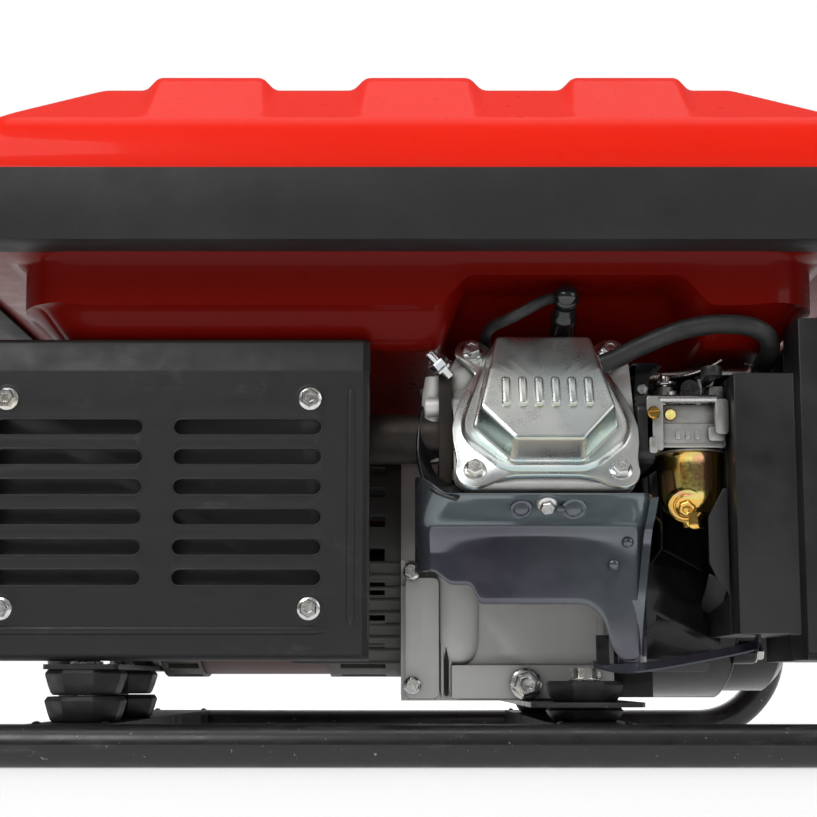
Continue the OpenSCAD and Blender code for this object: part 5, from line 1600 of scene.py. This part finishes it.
def panel_details():
    y = span("control_panel")[1].y
    glass = clear_plastic()

    def at(x, z, out=0.0):
        """A place on the panel's face, seen from behind the set."""
        return axes((-1, 0, 0), (0, 0, 1), (0, 1, 0), (x, y + out, z))

    trim = Form()
    border = [(-x - 130, y + 0.1, z + 160) for x, z in rounded_box(138, 74, 9, 5)]
    trim.tube(border + border[:1], 1.5, 10, step=0)
    for k in range(6):
        trim.tube([(-26, y + 0.3, 150 + 8 * k), (6, y + 0.3, 150 + 8 * k)], 1.8, 10, step=4)
    trim.piece("panel_beads", "panel_paint", smooth=60)
    screws = Form()
    for x in (-272, -130, 12):
        for z in (80, 300):
            m = at(x, z)
            screws.lathe([(5.4, 0), (5.2, 1.2), (4.2, 2.3), (2.4, 2.8), (2.2, 2.2), (0.1, 2.0)], m, 28)
            crossed(screws, m, 2.1, 0.45, 2.0, 2.86, 0.4)
    for x in (-225, -150):
        for sx, sz in ((-1, -1), (1, -1)):
            corner = at(x + sx * 19.6, 150 + sz * 19.6, 6)
            screws.lathe([(2.8, 0), (2.7, 0.8), (1.8, 1.4), (0.1, 1.5)], corner, 20)
    screws.piece("panel_screws", "zinc")
    rings = Form()
    for x in (-225, -150):
        rings.lathe([(30.6, 0), (30.6, 1.6), (29.6, 2.6), (28.2, 2.8), (28.2, 0)], at(x, 150), 56)
    rings.loft([circle(11, 6, 0), circle(11, 6, 2.2), circle(10, 6, 3.0), circle(7, 6, 3.0)],
               at(-85, 150))
    for x in (-100, -76):
        rings.loft([circle(r, 30, n) for r, n in ((10, 0), (10, 1.6), (9, 2.6), (7.3, 3))], at(x, 228))
    rings.loft([[(a, b, n) for a, b in rounded_box(13 - s, 20 - s, 3, 5)]
                for s, n in ((0, 0), (0, 1.6), (1, 2.4), (4, 2.4))], at(-53, 228))
    rings.piece("panel_collars", "black_plastic", smooth=40)
    caps = {"terminal_cap_red": ("red_plastic", -100), "terminal_cap_black": ("black_plastic", -76)}
    for name, (slot, x) in caps.items():
        cap = Form()
        cap.loft([[(a, b, n) for a, b in star(r, 0.5, 18)] for r, n in
                  ((7.6, 3.4), (8.0, 4), (8.0, 10), (7.3, 12.2), (5, 12.6))], at(x, 228))
        cap.piece(name, slot, smooth=50)

    # Voltmeter: dial, ticks behind the needle, lens
    face = Form().prism(rounded_box(19.6, 17.6, 1, 3), 0, 0.12, at(-188, 228, 2.02))
    face.piece("voltmeter_dial", "pale_plastic")
    marks = Form()
    dial(marks, at(-188, 214, 2.1), 25.5, 45, 135, 21)
    marks.piece("voltmeter_marks", "black_plastic")
    lens = Form().prism(rounded_box(20.5, 18.5, 1.5, 3), 5.2, 5.9, at(-188, 228))
    lens.piece("voltmeter_lens", "pale_plastic", bevel=0.2, material=glass)
    bezel = Form()
    bezel.loft([[(a, b, n) for a, b in rounded_box(24.4 - s, 22.4 - s, 2.5, 4)]
                for s, n in ((0, 5.6), (0, 6.6), (0.8, 7.2), (3.2, 7.2), (3.8, 6.2))], at(-188, 228),
                caps=False)
    bezel.piece("voltmeter_bezel", "black_plastic")
    for name, x in (("left", -225), ("right", -150)):
        ribs = Form()
        for k in range(5):
            half = math.sqrt(24 ** 2 - (6 * (k - 2)) ** 2)
            z = 150 + 6 * (k - 2)
            ribs.tube([(x - half * 0.8, y + 10.6, z), (x + half * 0.8, y + 10.6, z)], 1.1, 10, step=4)
        lid_low, _ = span("socket_lid_" + name)
        ribs.hoop(24.6, 0.9, facing_front((x, lid_low.y + 4, 150)))
        ribs.piece("lid_ribs_" + name, "black_plastic", body="socket_lid_" + name, smooth=60)

    # Fuel gauge under its lens, cap with a raised grip
    low, high = span("fuel_gauge")
    m = place(((low.x + high.x) / 2, (low.y + high.y) / 2, high.z))
    Form().lathe([(18.8, -5.98), (18.8, -5.86), (0.1, -5.86)], m, 40).piece("gauge_dial", "pale_plastic")
    marks = Form()
    dial(marks, m @ Matrix.Translation((0, 0, -5.88)), 17, 0, 110, 11)
    marks.piece("gauge_marks", "black_plastic")
    Form().lathe([(19.2, -1.6), (18.9, -0.9), (10, -0.1), (0.1, 0.2)], m, 48).piece(
        "gauge_lens", "pale_plastic", smooth=60, material=glass)
    ring = Form().lathe([(24.4, -3), (24.6, -1.2), (23.6, 0.3), (21.4, 0.7), (19.4, 0.1), (19.2, -1.8)],
                        m,
                        60, caps=False)
    ring.piece("gauge_ring", "black_plastic", smooth=60)
    low, high = span("fuel_cap")
    m = place(((low.x + high.x) / 2, (low.y + high.y) / 2, high.z))
    rise = Form().hoop(26, 0.9, m, 60, -1.0)
    rise.piece("cap_ring", "black_plastic", body="fuel_cap", smooth=60)


def end_details():
    """Recoil cover, alternator end, muffler outlet and welds."""
    low, high = span("recoil_cover")
    y, z = CRANK.y, CRANK.z
    m = place((high.x, y, z), (1, 0, 0))
    cap = Form()
    cap.lathe([(34, -1), (34, -0.4), (32, 0), (28, 0), (26, -0.6), (22, -0.6), (20.5, -0.1), (0.1, 0)],
              m, 60)
    for radius in (46, 80):
        cap.hoop(radius, 0.9, m, 90, -0.9)
    cap.piece("recoil_mouldings", "gloss_black", smooth=50)
    rim = Form()
    rim.hoop(92.6, 1.6, place((high.x - 38, y, z), (1, 0, 0)), 96, 0.0, 10)
    bolts = Form()
    for k in range(4):
        a = math.radians(45 + 90 * k)
        c, s = 93 * math.cos(a), 93 * math.sin(a)
        rim.lathe([(8, -14), (8, 0), (7, 1)], place((high.x - 26, y + c, z + s), (1, 0, 0)), 28)
        bolts.bolt((high.x - 24.8, y + c, z + s), (1, 0, 0), 6, turn=k)
    rim.piece("recoil_rim", "gloss_black", smooth=50)
    low, high = span("alternator_bells")
    for k in range(3):
        a = math.radians(90 + 120 * k)
        bolts.bolt((low.x - 0.1, y + 60 * math.cos(a), z + 60 * math.sin(a)), (-1, 0, 0), 5, turn=k)
    bolts.piece("end_bolts", "zinc")
    bell = Form()
    m = place((low.x, y, z), (-1, 0, 0))
    bell.lathe([(24, -1), (24, 0.4), (22, 1.2), (14, 1.4), (12, 0.4), (0.1, 0.4)], m, 48)
    bell.hoop(66, 1.6, m, 80, -0.6, 10)
    bell.piece("alternator_cap", "cast_aluminium", smooth=50, material=MATERIALS["alternator_bells"])

    low, high = span("muffler")
    outlet = Form()
    m = place((low.x, -150, 205), (-1, 0, 0))
    outlet.lathe([(13.2, -16), (15.4, -15.4), (15.4, -6.6), (13.2, -6)], m, 40, caps=False)
    outlet.tube([m @ Vector((14.4, -4, -11)), m @ Vector((22, -4, -11))], 2.4, 12)
    outlet.piece("outlet_clamp", "exhaust_black", smooth=45)
    outlet_bolt = Form().bolt(m @ Vector((19, -6.2, -11)), -m.to_3x3().col[1], 4, flange=False)
    outlet_bolt.piece("outlet_clamp_bolt", "zinc")

    # Weld beads where the legs meet the band and the members meet the rails
    welds = Form()
    low, high = span("rear_frame_loop")
    band_low, _ = span("top_band")
    for x in (low.x + 12.5, high.x - 12.5):
        for yy in (-202.5, 202.5):
            ring = [(x + 13.2 * math.cos(a), yy + 13.2 * math.sin(a),
                     band_low.z - 1.2 + 0.5 * math.sin(9 * a))
                    for a in turns_of(48)]
            inside = all(CAD_BOX[0][i] / MM <= p[i] <= CAD_BOX[1][i] / MM for p in ring for i in (0, 1))
            if inside:
                welds.tube(ring, 1.7, 8, step=0)
    _, members_high = span("cross_members")
    for x in (-204, 103):
        for s in (-1, 1):
            for off in (-20, 20):
                path = [(x + off, s * (members_high.y - 9 + k * 2.2),
                         24.2 + 0.5 * (k % 2)) for k in range(5)]
                welds.tube(path, 2.0, 8, step=0)
    welds.piece("frame_welds", "frame_paint", smooth=60)


def air_box():
    """Raised panels, seam rib and latch of the air box; the cover's pieces move with it."""
    low, high = span("air_box_cover")
    face = low.y
    x0, x1 = 229.0, high.x
    cover = Form()

    for a, b, bottom, top, y in ((x0 + 5, x1 - 5, 182, 258, face + 0.4),
                                 (x0 + 5, x1 - 5, 84, 176, face + 0.4),
                                 (196, x0 - 4, 96, 228, face + 12.4)):
        m = axes((1, 0, 0), (0, 0, 1), (0, -1, 0), ((a + b) / 2, y, (bottom + top) / 2))
        cover.loft([[(p, q, n) for p, q in rounded_box((b - a) / 2 - s, (top - bottom) / 2 - s, 6 - s, 5)]
                    for s, n in ((0, -3.0), (0.2, -0.6), (1.0, -0.2), (1.6, -0.15))], m)
    cover.piece("air_box_panels", "black_plastic", body="air_box_cover", smooth=50)
    rim = Form()
    rim.tube([(x0 + 2, -165.9, 267.6), (x1 - 3, -165.9, 267.6)], 1.2, 10)
    rim.tube([(x1 - 0.4, -165.9, 264), (x1 - 0.4, -165.9, 72)], 1.2, 10)
    rim.piece("air_box_seam", "black_plastic", body="air_box_cover", smooth=60)
    base = Form()
    for k in range(3):
        base.tube([(x1 - 0.6, -155 + 16 * k, 80), (x1 - 0.6, -155 + 16 * k, 250)], 1.6, 10)
    base.tube([(219, -150, 243.4), (219, -150, 240.4)], 8.2, 24)
    base.piece("air_box_ribs", "black_plastic", smooth=60)
    latch = Form()
    latch.ribbon([(250, -150, 268.6), (250, -158, 269.4), (250, -163.6, 269.8)], 16, 1.6, (1, 0, 0))
    latch.piece("air_box_latch", "zinc", bevel=0.4)


def main():
    make_camera()
    make_studio()
    dress_cad_nodes()
    tank_upper()
    tank_lower()
    valve_cover()
    plug_boot()
    hoses()
    engine_bolts()
    head_details()
    cowl()
    strap()
    guard()
    carburettor()
    carb_surroundings()
    fan_shroud()
    crankcase_details()
    alternator_details()
    mounts()
    panel_details()
    end_details()
    air_box()


main()
